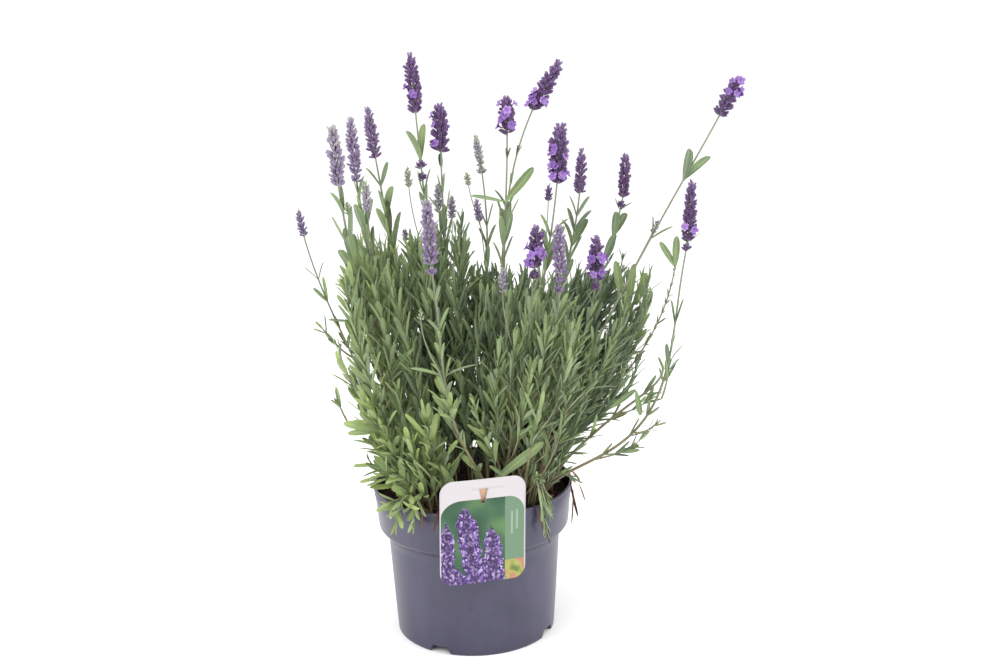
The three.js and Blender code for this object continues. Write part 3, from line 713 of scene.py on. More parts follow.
def scatter(count, reach):
    """Points spread evenly over the soil out to a share of its radius."""
    turn, r = RNG.uniform(0, 2 * np.pi, count), SOIL_RADIUS * reach * np.sqrt(RNG.random(count))
    x, y = r * np.sin(turn), -r * np.cos(turn)
    return np.stack([x, y, soil_height(x, y)], axis=-1)


def crumbs(count):
    """Loose crumbs of peat: small lumps of three uneven rings, wide in the middle."""
    centre = scatter(count, 0.97)
    size = (RNG.gamma(2.2, 0.5, count) + 0.35) * MM
    angle = np.linspace(0, 2 * np.pi, 6, endpoint=False)
    ring = np.stack([np.cos(angle), np.sin(angle), 0 * angle], axis=-1)
    levels, spread = np.array([-0.7, 0, 0.6]), np.array([0.55, 1, 0.6])
    shape = ring * spread[:, None, None] + levels[:, None, None] * UP * 0.7
    uneven = RNG.uniform(0.6, 1.35, (count, 3, 6, 1))
    rings = centre[:, None, None] + shape * uneven * size[:, None, None, None]
    return loft(rings, RNG.random(count) * 0.6)


def fibres(count):
    """Fibres and strips of bark that lie on the soil, each a thin tube bowed to one side."""
    made = []
    for start in scatter(count, 0.86):
        heading = RNG.uniform(0, 2 * np.pi)
        ahead = np.array([np.cos(heading), np.sin(heading), RNG.normal(0, 0.15)])
        s = np.linspace(-0.5, 0.5, 6)[:, None]
        bow = np.cross(ahead, UP) * RNG.normal(0, 0.4) + UP * 0.1
        path = start + UP * 1.2 * MM + RNG.uniform(5, 17) * MM * (s * ahead + bow * s**2)
        radius = RNG.uniform(0.25, 0.65) * MM * np.array([0.3, 0.8, 1, 1, 0.8, 0.3])
        made.append(tube(path, radius, RNG.uniform(0.6, 1.0), around=5))
    return made


# ---- The label ----
CARD_THICKNESS = 0.5 * MM
CARD_CORNER = 12 * MM
SLOT_WIDTH = 8 * MM
SLOT_FOOT_WIDTH = 3 * MM
SLOT_LENGTH = 14 * MM
SLOT_BELOW_TOP = 9 * MM


def label_place():
    """The label's own frame, from the CAD label: its face's middle, its right, up and front, its half sizes, and its
    depth from the face to the back of the tongue.

    Front is the normal of the largest face that looks forwards. Right and up are the directions in which the
    front's box is smallest.
    """
    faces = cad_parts["plant_label"].data.polygons
    normal, area = np.empty(len(faces) * 3, dtype=np.float32), np.empty(len(faces), dtype=np.float32)
    faces.foreach_get("normal", normal)
    faces.foreach_get("area", area)
    normal = normal.reshape(-1, 3).astype(float)
    front = unit(normal[np.where(normal[:, 1] < -0.5, area, 0).argmax()])
    cad = points_of("plant_label")
    ahead = cad @ front
    face = cad[ahead > ahead.max() - 0.1 * MM]
    level = unit(np.cross(UP, front))
    upright = np.cross(front, level)
    tilt = np.linspace(-0.3, 0.3, 1201)[:, None, None]
    rights = np.cos(tilt) * level + np.sin(tilt) * upright
    ups = np.cos(tilt) * upright - np.sin(tilt) * level
    spans = [np.ptp((face @ np.swapaxes(way, 1, 2))[..., 0], axis=1) for way in (rights, ups)]
    best = (spans[0] * spans[1]).argmin()
    axes = np.stack([rights[best, 0], ups[best, 0], front])
    local = face @ axes.T
    low, high = local.min(axis=0), local.max(axis=0)
    return (low + high) / 2 @ axes, axes, (high - low)[:2] / 2, np.ptp(ahead)


def label_card():
    """The printed card: rows whose width follows the round corners, with a tapered slot left out near the top.

    The columns beside the slot keep to its edges, and the others spread evenly from there out to the row's end.
    The card bows back a little at its sides.
    """
    middle, axes, (half_x, half_y), _ = label_place()
    bend = np.linspace(0, np.pi / 2, 9)
    round_y = half_y - CARD_CORNER + CARD_CORNER * np.sin(bend)
    slot_top = half_y - SLOT_BELOW_TOP
    slot_rows = np.linspace(slot_top - SLOT_LENGTH, slot_top, 5)
    y = np.unique(np.round([*-round_y, *round_y, *np.linspace(-half_y + CARD_CORNER, slot_rows[0], 16), *slot_rows], 6))
    past = np.maximum(np.abs(y) - (half_y - CARD_CORNER), 0)
    wide = half_x - CARD_CORNER + np.sqrt(np.maximum(CARD_CORNER**2 - past**2, 0))
    taper = np.clip((slot_top - y) / SLOT_LENGTH, 0, 1)
    beside = (SLOT_WIDTH + (SLOT_FOOT_WIDTH - SLOT_WIDTH) * taper) / 2
    out = beside[:, None] + (wide - beside)[:, None] * np.linspace(0, 1, 11)
    x = np.concatenate([-out[:, ::-1], 0 * beside[:, None], out], axis=1)
    y = np.broadcast_to(y[:, None], x.shape)
    bow = -1.2 * MM * (x / half_x) ** 2 + 0.6 * MM * (y / half_y) ** 2
    points = middle + np.stack([x, y, bow], axis=-1).reshape(-1, 3) @ axes
    rows, columns = x.shape
    i, j = np.meshgrid(np.arange(rows - 1), np.arange(columns - 1), indexing="ij")
    in_slot = (y[:-1, :-1] > slot_rows[0] - 0.1 * MM) & (y[1:, :-1] < slot_top + 0.1 * MM)
    in_slot &= (j == columns // 2 - 1) | (j == columns // 2)
    corner = (i * columns + j)[~in_slot]
    return {
        "points": points,
        "quads": np.stack([corner, corner + 1, corner + columns + 1, corner + columns], axis=-1),
        "triangles": np.zeros((0, 3), dtype=int),
        "uv": np.stack([0.5 + x / half_x / 2, 0.5 + y / half_y / 2], axis=-1).reshape(-1, 2),
        "tint": np.full(x.size, 0.5),
    }


def label_tongue():
    """The tongue that hooks the card over the rim: a flat strip that slopes back from the slot's top over the rim,
    and then hangs down inside it.

    A step of its path is how far back and how far up it is from the slot's top, in millimetres.
    """
    middle, axes, (_, half_y), depth = label_place()
    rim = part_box("nursery_pot")[1]
    top = middle + axes[1] * (half_y - SLOT_BELOW_TOP + 0.6 * MM) - axes[2] * CARD_THICKNESS
    drop = (top[2] - rim.z) / MM + 9
    back = depth / MM - 1
    steps = [[0.4, 0], [1.2, -5], [2.4, -11], [back - 1.5, -19], [back - 0.3, -22], [back, -26], [back, -drop]]
    steps = np.array(steps) * MM
    path = top - steps[:, :1] * axes[2] + steps[:, 1:] * axes[1]
    over = unit(np.cross(axes[0], unit(np.gradient(path, axis=0))))
    corners = [(1, 1), (-1, 1), (-1, -1), (1, -1)]
    half = SLOT_WIDTH / 2 - 0.2 * MM
    rings = np.stack([path + a * half * axes[0] - b * CARD_THICKNESS / 2 * over for a, b in corners], axis=1)
    return loft(rings[None], 0.5)


# ---- Materials ----
def colour(sheet):
    """A linear colour from its sRGB hex."""
    value = np.array([int(sheet[i : i + 2], 16) for i in (1, 3, 5)]) / 255
    return (*np.where(value <= 0.04045, value / 12.92, ((value + 0.055) / 1.055) ** 2.4), 1.0)


def add(tree, kind, *values, out=0, stops=(), **named):
    """One node of a kind, with its settings and links. Gives back the output that out numbers or names.

    The values go to the node's open inputs in their order. A name that starts with a capital is also an input, and
    any other name is a setting. An input takes a value, or the socket that it is linked from. Stops are the
    (place, sRGB hex) pairs of a colour ramp.
    """
    node = tree.nodes.new("ShaderNode" + kind)
    for name in [name for name in named if name[0].islower()]:
        setattr(node, name, named.pop(name))
    sockets = [socket for socket in node.inputs if socket.enabled]
    named = [(node.inputs[name.replace("_", " ")], value) for name, value in named.items()]
    for socket, value in [*zip(sockets, values), *named]:
        if isinstance(value, bpy.types.NodeSocket):
            tree.links.new(value, socket)
        else:
            socket.default_value = value
    for i, (place, sheet) in enumerate(stops):
        stop = node.color_ramp.elements[i] if i < 2 else node.color_ramp.elements.new(place)
        stop.position, stop.color = place, colour(sheet)
    if isinstance(out, str):
        return node.outputs[out]
    return [socket for socket in node.outputs if socket.enabled][out]


def finish_of(name, **shader):
    """A new material with its Principled shader's own values, and the node tree to add patterns to."""
    material = bpy.data.materials.new(name)
    material.use_nodes = True
    surface = material.node_tree.nodes["Principled BSDF"]
    for socket, value in shader.items():
        surface.inputs[socket.replace("_", " ")].default_value = value
    return material, material.node_tree, surface


def mottle(tree, size, detail, roughness, tall=1, place=None):
    """Uneven patches about size metres across, drawn out upwards, on Object coordinates or on another place."""
    place = place or add(tree, "TexCoord", out="Object")
    turned = add(tree, "Mapping", place, Scale=(1 / size, 1 / size, 1 / (size * tall)))
    return add(tree, "TexNoise", turned, 1.0, detail, roughness)


def let_light_through(tree, surface, base, share):
    """A thin blade or petal: a share of the light that falls on it comes out of its other side in its own colour."""
    glow = add(tree, "BsdfTranslucent", base)
    blend = add(tree, "MixShader", share, surface.outputs[0], glow)
    tree.links.new(blend, tree.nodes["Material Output"].inputs["Surface"])


def pot_plastic():
    """Injection-moulded polypropylene, slate grey with a violet cast. Its skin is half matte, so a lamp gives it a
    wide soft sheen, and dried water has left pale streaks down it."""
    material, tree, surface = finish_of("moulded_polypropylene", Specular_IOR_Level=0.6, IOR=1.5)
    streaks = add(tree, "Math", mottle(tree, 9 * MM, 3, 0.6, tall=9), 0.3, operation="MULTIPLY")
    clouds = mottle(tree, 34 * MM, 3, 0.55)
    shade = add(tree, "Math", streaks, add(tree, "Math", clouds, 0.7, operation="MULTIPLY"), operation="ADD")
    tone = add(tree, "ValToRGB", shade, stops=[(0.3, "#2B2942"), (0.5, "#323047"), (0.7, "#3B3851")])
    smears = add(tree, "MapRange", mottle(tree, 12 * MM, 4, 0.7, tall=3), 0.64, 0.7, 0.0, 0.5)
    soiled = add(tree, "Mix", smears, tone, colour("#23222E"), data_type="RGBA")
    tree.links.new(soiled, surface.inputs["Base Color"])
    tree.links.new(add(tree, "MapRange", clouds, To_Min=0.26, To_Max=0.4), surface.inputs["Roughness"])
    fine = mottle(tree, 0.8 * MM, 2, 0.5)  # the mould's grain, drawn coarser than the real one so that it shows
    dents = add(tree, "Bump", Height=fine, Distance=0.05 * MM, Strength=0.4)
    tree.links.new(dents, surface.inputs["Normal"])
    return material


def peat():
    """Damp peat: near black brown and fully matte, with lighter crumbs and rust-brown fibres by tint."""
    material, tree, surface = finish_of("peat", Roughness=0.95, Specular_IOR_Level=0.2)
    fine = mottle(tree, 1.6 * MM, 4, 0.7)
    tint = add(tree, "Attribute", attribute_name="tint", out="Fac")
    stops = [(0.0, "#2A1F19"), (0.5, "#3C2B20"), (0.8, "#6A4430"), (1.0, "#8A6247")]
    by_tint = add(tree, "ValToRGB", tint, stops=stops)
    shaded = add(tree, "Mix", fine, colour("#120C0A"), by_tint, data_type="RGBA")
    tree.links.new(shaded, surface.inputs["Base Color"])
    lumps = add(tree, "Bump", Height=fine, Distance=0.8 * MM, Strength=0.8)
    tree.links.new(lumps, surface.inputs["Normal"])
    return material


def leaf_green():
    """Lavender leaf under fine white felt. The felt greys the green and takes its gloss, light comes through the thin
    blade, its underside is whiter, and the midrib is a paler line. Tint goes from blue-grey old leaves to yellow-green
    young ones, and on the lit left of the plant it is also raised as painted light."""
    material, tree, surface = finish_of(
        "felted_lavender_leaf", Roughness=0.62, Specular_IOR_Level=0.3, Sheen_Weight=0.08, Sheen_Roughness=0.5
    )
    patchy = add(tree, "MapRange", mottle(tree, 22 * MM, 1, 0.5), To_Min=-0.35, To_Max=0.35)
    tint = add(tree, "Attribute", attribute_name="tint", out="Fac")
    tone = add(tree, "Math", tint, patchy, operation="ADD", use_clamp=True)
    stops = [(0.0, "#566859"), (0.25, "#697C63"), (0.5, "#7F9366"), (0.75, "#91A56B"), (1.0, "#A8BB71")]
    green = add(tree, "ValToRGB", tone, stops=stops)
    uv = add(tree, "UVMap")
    round_blade, up_blade = add(tree, "SeparateXYZ", uv, out="X"), add(tree, "SeparateXYZ", uv, out="Y")
    under = add(tree, "Math", add(tree, "Math", round_blade, 0.5, operation="GREATER_THAN"), 0.5, operation="MULTIPLY")
    sided = add(tree, "Mix", under, green, colour("#8C9A80"), data_type="RGBA")
    folded = add(tree, "Math", round_blade, 0.5, operation="PINGPONG")
    from_rib = add(tree, "Math", add(tree, "Math", folded, 0.25, operation="SUBTRACT"), operation="ABSOLUTE")
    rib = add(tree, "MapRange", from_rib, 0.02, 0.07, 0.4, 0.0)
    ribbed = add(tree, "Mix", rib, sided, colour("#B2BF98"), data_type="RGBA")
    foot = add(tree, "MapRange", up_blade, 0.0, 0.25, 0.35, 0.0)
    paled = add(tree, "Mix", foot, ribbed, colour("#A8B98B"), data_type="RGBA")
    tree.links.new(paled, surface.inputs["Base Color"])
    let_light_through(tree, surface, paled, 0.22)
    return material


def stem_skin():
    """Lavender stem: grey-brown bark at its foot, olive and then grey green above, with long grain lines down it."""
    material, tree, surface = finish_of("lavender_stem", Roughness=0.7, Specular_IOR_Level=0.25)
    lines = mottle(tree, 1.2 * MM, 3, 0.6, tall=9)  # drawn broader than real bark lines so that they show
    tint = add(tree, "Attribute", attribute_name="tint", out="Fac")
    tone = add(tree, "ValToRGB", tint, stops=[(0.0, "#7A6150"), (0.35, "#8B8464"), (1.0, "#868E78")])
    lined = add(tree, "Mix", lines, colour("#000000"), tone, data_type="RGBA")
    tree.links.new(add(tree, "Mix", 0.35, tone, lined, data_type="RGBA"), surface.inputs["Base Color"])
    return material


def calyx_felt():
    """The ribbed, felted cup of a lavender flower: grey green while it is a bud, then mauve, then dark violet, paler
    and greener at its foot. Its felt makes it matte with a soft light edge."""
    material, tree, surface = finish_of(
        "felted_calyx", Roughness=0.7, Specular_IOR_Level=0.25, Sheen_Weight=0.3, Sheen_Roughness=0.4
    )
    stops = [(0.0, "#98A27F"), (0.2, "#9C98A0"), (0.45, "#877596"), (0.72, "#6A4F7C"), (1.0, "#50345E")]
    tone = add(tree, "ValToRGB", add(tree, "Attribute", attribute_name="tint", out="Fac"), stops=stops)
    up_cup = add(tree, "SeparateXYZ", add(tree, "UVMap"), out="Y")
    foot = add(tree, "MapRange", up_cup, 0.0, 0.5, 0.55, 0.0)
    paler = add(tree, "Mix", foot, tone, colour("#84857C"), data_type="RGBA")
    tree.links.new(paler, surface.inputs["Base Color"])
    return material


def petal():
    """A lavender flower's petals: lilac, thin and soft, darker down inside the tube, and with light shining through."""
    material, tree, surface = finish_of("lilac_petal", Roughness=0.5, Specular_IOR_Level=0.3, Sheen_Weight=0.2)
    tint = add(tree, "Attribute", attribute_name="tint", out="Fac")
    tone = add(tree, "ValToRGB", tint, stops=[(0.0, "#8159A8"), (0.5, "#9B74BF"), (1.0, "#B592D0")])
    up_flower = add(tree, "SeparateXYZ", add(tree, "UVMap"), out="Y")
    # The rings down inside the tube are mixed towards a dark violet.
    throat = add(tree, "MapRange", up_flower, 0.2, 0.4, 0.8, 0.0)
    deep = add(tree, "Mix", throat, tone, colour("#563478"), data_type="RGBA")
    tree.links.new(deep, surface.inputs["Base Color"])
    let_light_through(tree, surface, deep, 0.25)
    return material


def dry_leaf():
    """Dead lavender leaf: dark brown to straw, papery and dull."""
    material, tree, surface = finish_of("dry_leaf", Roughness=0.8, Specular_IOR_Level=0.2)
    tint = add(tree, "Attribute", attribute_name="tint", out="Fac")
    tone = add(tree, "ValToRGB", tint, stops=[(0.0, "#4A3328"), (0.5, "#6E5240"), (1.0, "#93765C")])
    tree.links.new(tone, surface.inputs["Base Color"])
    return material


def between(tree, value, low, high):
    """1 where a value lies between two limits, with soft edges."""
    soft = 0.004
    rise = add(tree, "MapRange", value, low - soft, low + soft)
    fall = add(tree, "MapRange", value, high - soft, high + soft)
    return add(tree, "Math", rise, fall, operation="SUBTRACT", use_clamp=True)


def in_rectangle(tree, u, v, left, right, low, high, strength):
    """A strength inside a rectangle of the card, and 0 outside it."""
    inside = add(tree, "Math", between(tree, u, left, right), between(tree, v, low, high), operation="MULTIPLY")
    return add(tree, "Math", inside, strength, operation="MULTIPLY")


# The sprigs in the card's picture, in shares of the card: the foot from the left, the head from below, how far the
# axis leans, and the half width.
CARD_SPRIGS = [
    (0.42, 0.76, -0.2, 0.12), (0.1, 0.62, -0.05, 0.085), (0.66, 0.56, -0.14, 0.1), (0.2, 0.17, 0.0, 0.15),
    (0.56, 0.34, 0.1, 0.1),
]
# The picture panel's round shoulders, in shares of the card: the panel's left, right and top before the rounding,
# and how far the rounding goes on past each.
PANEL_LEFT, PANEL_RIGHT, PANEL_TOP = (0.255, 0.243), (0.785, 0.2), (0.655, 0.155)
BAND_LEFT = 0.755
PATCH_TOP = 0.19
BEYOND = 2.0  # past any edge of the card


def sprig_picture(tree, place, u, v):
    """Flower sprigs before a green field: tapered ragged columns filled with small cells, darker down the middle."""
    blur = mottle(tree, 0.34, 1, 0.5, place=place)
    field = add(tree, "ValToRGB", blur, stops=[(0.3, "#22402E"), (0.5, "#37583F"), (0.7, "#55754A")])
    ragged = add(tree, "MapRange", mottle(tree, 0.05, 2, 0.5, place=place), To_Min=-0.05, To_Max=0.05)
    sprigs, nearest = 0.0, 1.0
    for foot, head, lean, wide in CARD_SPRIGS:
        axis = add(tree, "Math", add(tree, "Math", v, lean, operation="MULTIPLY"), foot, operation="ADD")
        aside = add(tree, "Math", add(tree, "Math", u, axis, operation="SUBTRACT"), operation="ABSOLUTE")
        taper = add(tree, "MapRange", v, head - 0.16, head, wide, 0.0)
        inside = add(tree, "Math", add(tree, "Math", aside, ragged, operation="ADD"), taper, operation="LESS_THAN")
        below = add(tree, "Math", v, head, operation="LESS_THAN")
        inside = add(tree, "Math", inside, below, operation="MULTIPLY")
        sprigs = add(tree, "Math", sprigs, inside, operation="MAXIMUM")
        nearest = add(tree, "Math", nearest, aside, operation="MINIMUM")
    cells = add(tree, "TexVoronoi", place, Scale=52.0, out="Color")
    pick = add(tree, "SeparateColor", cells)
    stops = [(0.0, "#2B1B42"), (0.4, "#44306A"), (0.7, "#755B98"), (1.0, "#B8A3CC")]
    petals = add(tree, "ValToRGB", pick, stops=stops)
    core = add(tree, "MapRange", nearest, 0.0, 0.05, 0.6, 0.0)
    petals = add(tree, "Mix", core, petals, colour("#2A1F30"), data_type="RGBA")
    return add(tree, "Mix", sprigs, field, petals, data_type="RGBA")


def printed_card():
    """Coated card printed in four colours under a thin varnish, so it is smooth with a plain soft gloss.

    The print is drawn on the card's own UV map: a white head, a picture panel with round shoulders under it, a sage
    band of plain bars down the right and a small bright patch at the foot of the band.
    """
    material, tree, surface = finish_of("varnished_printed_card", Roughness=0.35, IOR=1.5, Specular_IOR_Level=0.3)
    place = add(tree, "UVMap")
    u, v = add(tree, "SeparateXYZ", place, out="X"), add(tree, "SeparateXYZ", place, out="Y")
    picture = sprig_picture(tree, place, u, v)

    band = between(tree, u, BAND_LEFT, BEYOND)
    picture = add(tree, "Mix", band, picture, colour("#647E66"), data_type="RGBA")
    patchy = mottle(tree, 0.13, 1, 0.5, place=place)
    patch = add(tree, "ValToRGB", patchy, stops=[(0.38, "#A9745C"), (0.5, "#989A52"), (0.62, "#5F7036")])
    patch_place = in_rectangle(tree, u, v, BAND_LEFT, BEYOND, -BEYOND, PATCH_TOP, 1.0)
    picture = add(tree, "Mix", patch_place, picture, patch, data_type="RGBA")
    for left, low, high in ((0.825, 0.44, 0.66), (0.885, 0.48, 0.67)):
        bar = in_rectangle(tree, u, v, left, left + 0.025, low, high, 0.4)
        picture = add(tree, "Mix", bar, picture, colour("#A9B8A6"), data_type="RGBA")

    corner = 0.0
    for a, b, size in (
        (PANEL_LEFT[0], u, PANEL_LEFT[1]),
        (u, PANEL_RIGHT[0], PANEL_RIGHT[1]),
        (v, PANEL_TOP[0], PANEL_TOP[1]),
    ):
        past = add(tree, "Math", add(tree, "Math", a, b, operation="SUBTRACT"), 0.0, operation="MAXIMUM")
        share = add(tree, "Math", past, size, operation="DIVIDE")
        squared = add(tree, "Math", share, 2.0, operation="POWER")
        corner = add(tree, "Math", corner, squared, operation="ADD")
    shown = add(tree, "Math", corner, 1.0, operation="LESS_THAN")
    head_bar = in_rectangle(tree, u, v, 0.36, 0.74, 0.9, 0.92, 0.3)
    blank = add(tree, "Mix", head_bar, colour("#BAB5B8"), colour("#9C9298"), data_type="RGBA")
    printed = add(tree, "Mix", shown, blank, picture, data_type="RGBA")
    tree.links.new(printed, surface.inputs["Base Color"])
    return material


def plain_card():
    """The unprinted back of the card: white, uncoated and matte."""
    return finish_of("uncoated_card", Base_Color=colour("#CFCBCC"), Roughness=0.7)[0]


def tan_card():
    """The tongue's face, seen through the slot: the card's own board with no coating, tan and matte."""
    return finish_of("bare_board", Base_Color=colour("#C09C80"), Roughness=0.8)[0]


# ---- The plant ----
def stem_tube(path, foot_radius, top_radius, tint_low, tint_high, around=6):
    """A tapering stem whose tint runs evenly from its foot to its top."""
    made = tube(path, np.linspace(foot_radius, top_radius, len(path)), 0.0, around)
    per_point = np.repeat(np.linspace(tint_low, tint_high, len(path)), around)
    made["tint"] = np.concatenate([per_point, [tint_low, tint_high]])
    return made


PALETTE = {
    "leaves": leaf_green(),
    "stems": stem_skin(),
    "calyx": calyx_felt(),
    "petals": petal(),
    "dry": dry_leaf(),
}
# Low shoots near the rim, and a few branches higher up: where they start, a point they pass over and where they end,
# in millimetres from the pot's middle and above its rim, with their leaves' length and width in millimetres, how far
# those open in degrees, and how yellow they are. A start with no height is in the soil.
LOW_SHOOTS = [
    ((-44, -52), (-58, -76, 14), (-68, -95, -6), 24, 6, 45, 0.8),
    ((-38, -58), (-45, -78, 16), (-52, -98, -4), 22, 6, 40, 0.85),
    ((-50, -45), (-72, -60, 60), (-94, -62, 78), 28, 7, 55, 0.85),
    ((-44, -52), (-58, -70, 24), (-68, -84, 34), 26, 5.5, 38, 0.75),
    ((-38, -56), (-47, -72, 32), (-52, -82, 56), 26, 5, 28, 0.7),
    ((-52, -42), (-70, -60, 22), (-86, -74, 30), 28, 6.5, 45, 0.8),
    ((-58, -30), (-76, -40, 36), (-90, -48, 54), 28, 5.5, 38, 0.75),
    ((-30, -60), (-35, -72, 28), (-38, -80, 58), 28, 5, 24, 0.75),
    ((-24, -62), (-24, -72, 30), (-20, -78, 52), 28, 5, 28, 0.7),
    ((-60, -16), (-82, -22, 18), (-98, -26, 26), 26, 4.5, 45, 0.7),
    ((-46, -40), (-58, -52, 60), (-64, -58, 110), 28, 4.5, 24, 0.7),
    ((-50, -50), (-62, -72, 8), (-78, -86, 6), 22, 5.5, 45, 0.85),
    ((52, -50), (58, -72, 26), (66, -78, -22), 20, 2.6, 14, 0.5),
    ((54, -46), (62, -68, 22), (71, -72, -8), 20, 2.6, 16, 0.42),
    ((56, -50), (63, -72, 18), (68, -76, -26), 16, 2.2, 14, 0.3),
    ((60, -34), (78, -46, 18), (92, -56, 18), 22, 3, 34, 0.5),
    ((64, -20), (84, -26, 26), (104, -30, 34), 22, 3.2, 38, 0.5),
    ((60, -38), (72, -52, 34), (80, -58, 66), 26, 3.2, 30, 0.5),
    ((46, -46), (52, -60, 30), (56, -66, 64), 26, 3.2, 26, 0.45),
    ((-4, 62), (-8, 84, 28), (-14, 100, 42), 30, 5, 42, 0.5), ((42, 48), (60, 66, 26), (74, 84, 34), 30, 4, 42, 0.45),
    ((-48, 44), (-66, 60, 24), (-84, 74, 30), 30, 5, 42, 0.6),
    ((176, -36, 88), (181, -33, 104), (184, -30, 124), 20, 3, 28, 0.35),
    ((150, -44, 58), (162, -44, 60), (174, -46, 70), 12, 2.2, 40, 0.4),
    ((-108, 0, 122), (-123, -4, 136), (-138, -6, 157), 18, 3, 30, 0.65),
    ((-110, -44, 70), (-118, -44, 88), (-122, -42, 104), 18, 3.2, 30, 0.65),
    ((66, 44, 90), (108, 56, 160), (118, 60, 200), 26, 3.2, 24, 0.25),
    ((80, 40, 100), (132, 50, 150), (146, 52, 186), 26, 3.2, 24, 0.2),
    ((70, 56, 80), (128, 72, 150), (150, 76, 196), 26, 3.2, 26, 0.15),
    ((76, 30, 60), (128, 40, 120), (152, 42, 166), 26, 3.2, 28, 0.25),
    ((70, 20, 50), (120, 28, 90), (146, 30, 128), 24, 3.2, 30, 0.3),
    ((124, 36, 62), (172, 22, 132), (193, 10, 202), 10, 1.9, 24, 0.4),
]
# Lone dry and lone green leaves: start and end in millimetres from the pot's middle and above its rim, width in
# millimetres, bend and tint.
DRY_LEAVES = [
    ((91, -40, 12), (97, -45, -24), 2.6, 0.1, 0.0), ((94, -42, 4), (93, -46, -30), 1.6, 0.1, 0.1),
    ((99, -38, 8), (106, -42, -8), 1.6, 0.2, 0.5), ((62, -76, 8), (70, -78, -34), 2.6, 0.08, 0.1),
    ((66, -74, -8), (71, -77, -36), 2.0, 0.1, 0.0), ((58, -78, 2), (66, -79, -28), 1.5, 0.05, 0.3),
    ((-30, -88, 3), (-33, -99, -12), 2.2, 0.2, 0.3), ((-44, -81, 3), (-45, -92, -11), 1.8, 0.1, 0.6),
    ((94, 10, 4), (106, 14, -10), 2.4, 0.3, 0.5), ((40, 60, -4), (56, 70, 2), 2.4, 0.3, 0.6),
    ((-50, -50, -8), (-40, -66, -6), 2.4, 0.3, 0.8), ((20, -66, -6), (36, -70, -4), 2.2, 0.3, 0.7),
    ((-70, 30, -4), (-84, 42, 2), 2.4, 0.3, 0.6), ((60, -50, -4), (74, -52, 2), 2, 0.3, 0.4),
]
LONE_LEAVES = [
    ((22, -72, 26), (65, -76, 60), 9, 0.12, 0.62), ((-100, -20, 162), (-128, -20, 165), 2.4, 0.05, 0.3),
    ((-78, -62, 72), (-114, -60, 78), 8, 0.1, 0.8), ((-80, -60, 70), (-110, -64, 70), 6, 0.1, 0.8),
    ((128, -40, 80), (152, -40, 98), 5, -0.1, 0.5), ((152, -40, 97), (156, -41, 74), 5.5, -0.1, 0.5),
    ((40, -72, 20), (18, -74, 40), 4, 0.1, 0.5), ((36, -2, 267), (62, -6, 298), 8, 0.06, 0.5),
    ((36, -2, 267), (6, -6, 275), 4.5, 0.06, 0.4), ((153, 50, 150), (158, 46, 197), 8.5, 0.05, 0.72),
    ((161, 50, 156), (170, 46, 188), 8, 0.06, 0.78), ((147, 50, 162), (141, 46, 200), 8, 0.05, 0.7),
    ((166, 50, 140), (176, 46, 170), 6.5, 0.08, 0.66), ((156, 44, 138), (150, 40, 172), 7, 0.05, 0.7),
    ((132, 60, 150), (126, 56, 196), 7, 0.05, 0.6), ((193, 10, 201), (179, 8, 225), 6.5, 0.05, 0.5),
    ((193, 10, 201), (194, 8, 230), 7, 0.05, 0.5), ((-10, -70, 12), (-26, -80, 40), 6, 0.1, 0.7),
    ((10, -68, 10), (2, -72, 44), 5, 0.1, 0.6),
]
# How yellow and light each stem's leaves are, from 0, blue grey, to 1, yellow green.
# Part of the left-hand stems' higher values is painted light: their leaves are made lighter because that side of the
# plant is lit.
LEAF_TINT = {
    "01": 0.64, "02": 0.64, "03": 0.6, "04": 0.54, "06": 0.7, "08": 0.44, "09": 0.3, "10": 0.44, "11": 0.28,
    "12": 0.24, "13": 0.4, "14": 0.5, "15": 0.58, "16": 0.56, "17": 0.52, "18": 0.78, "19": 0.9, "20": 0.5,
}
LEAF_TINT_ELSEWHERE = 0.4


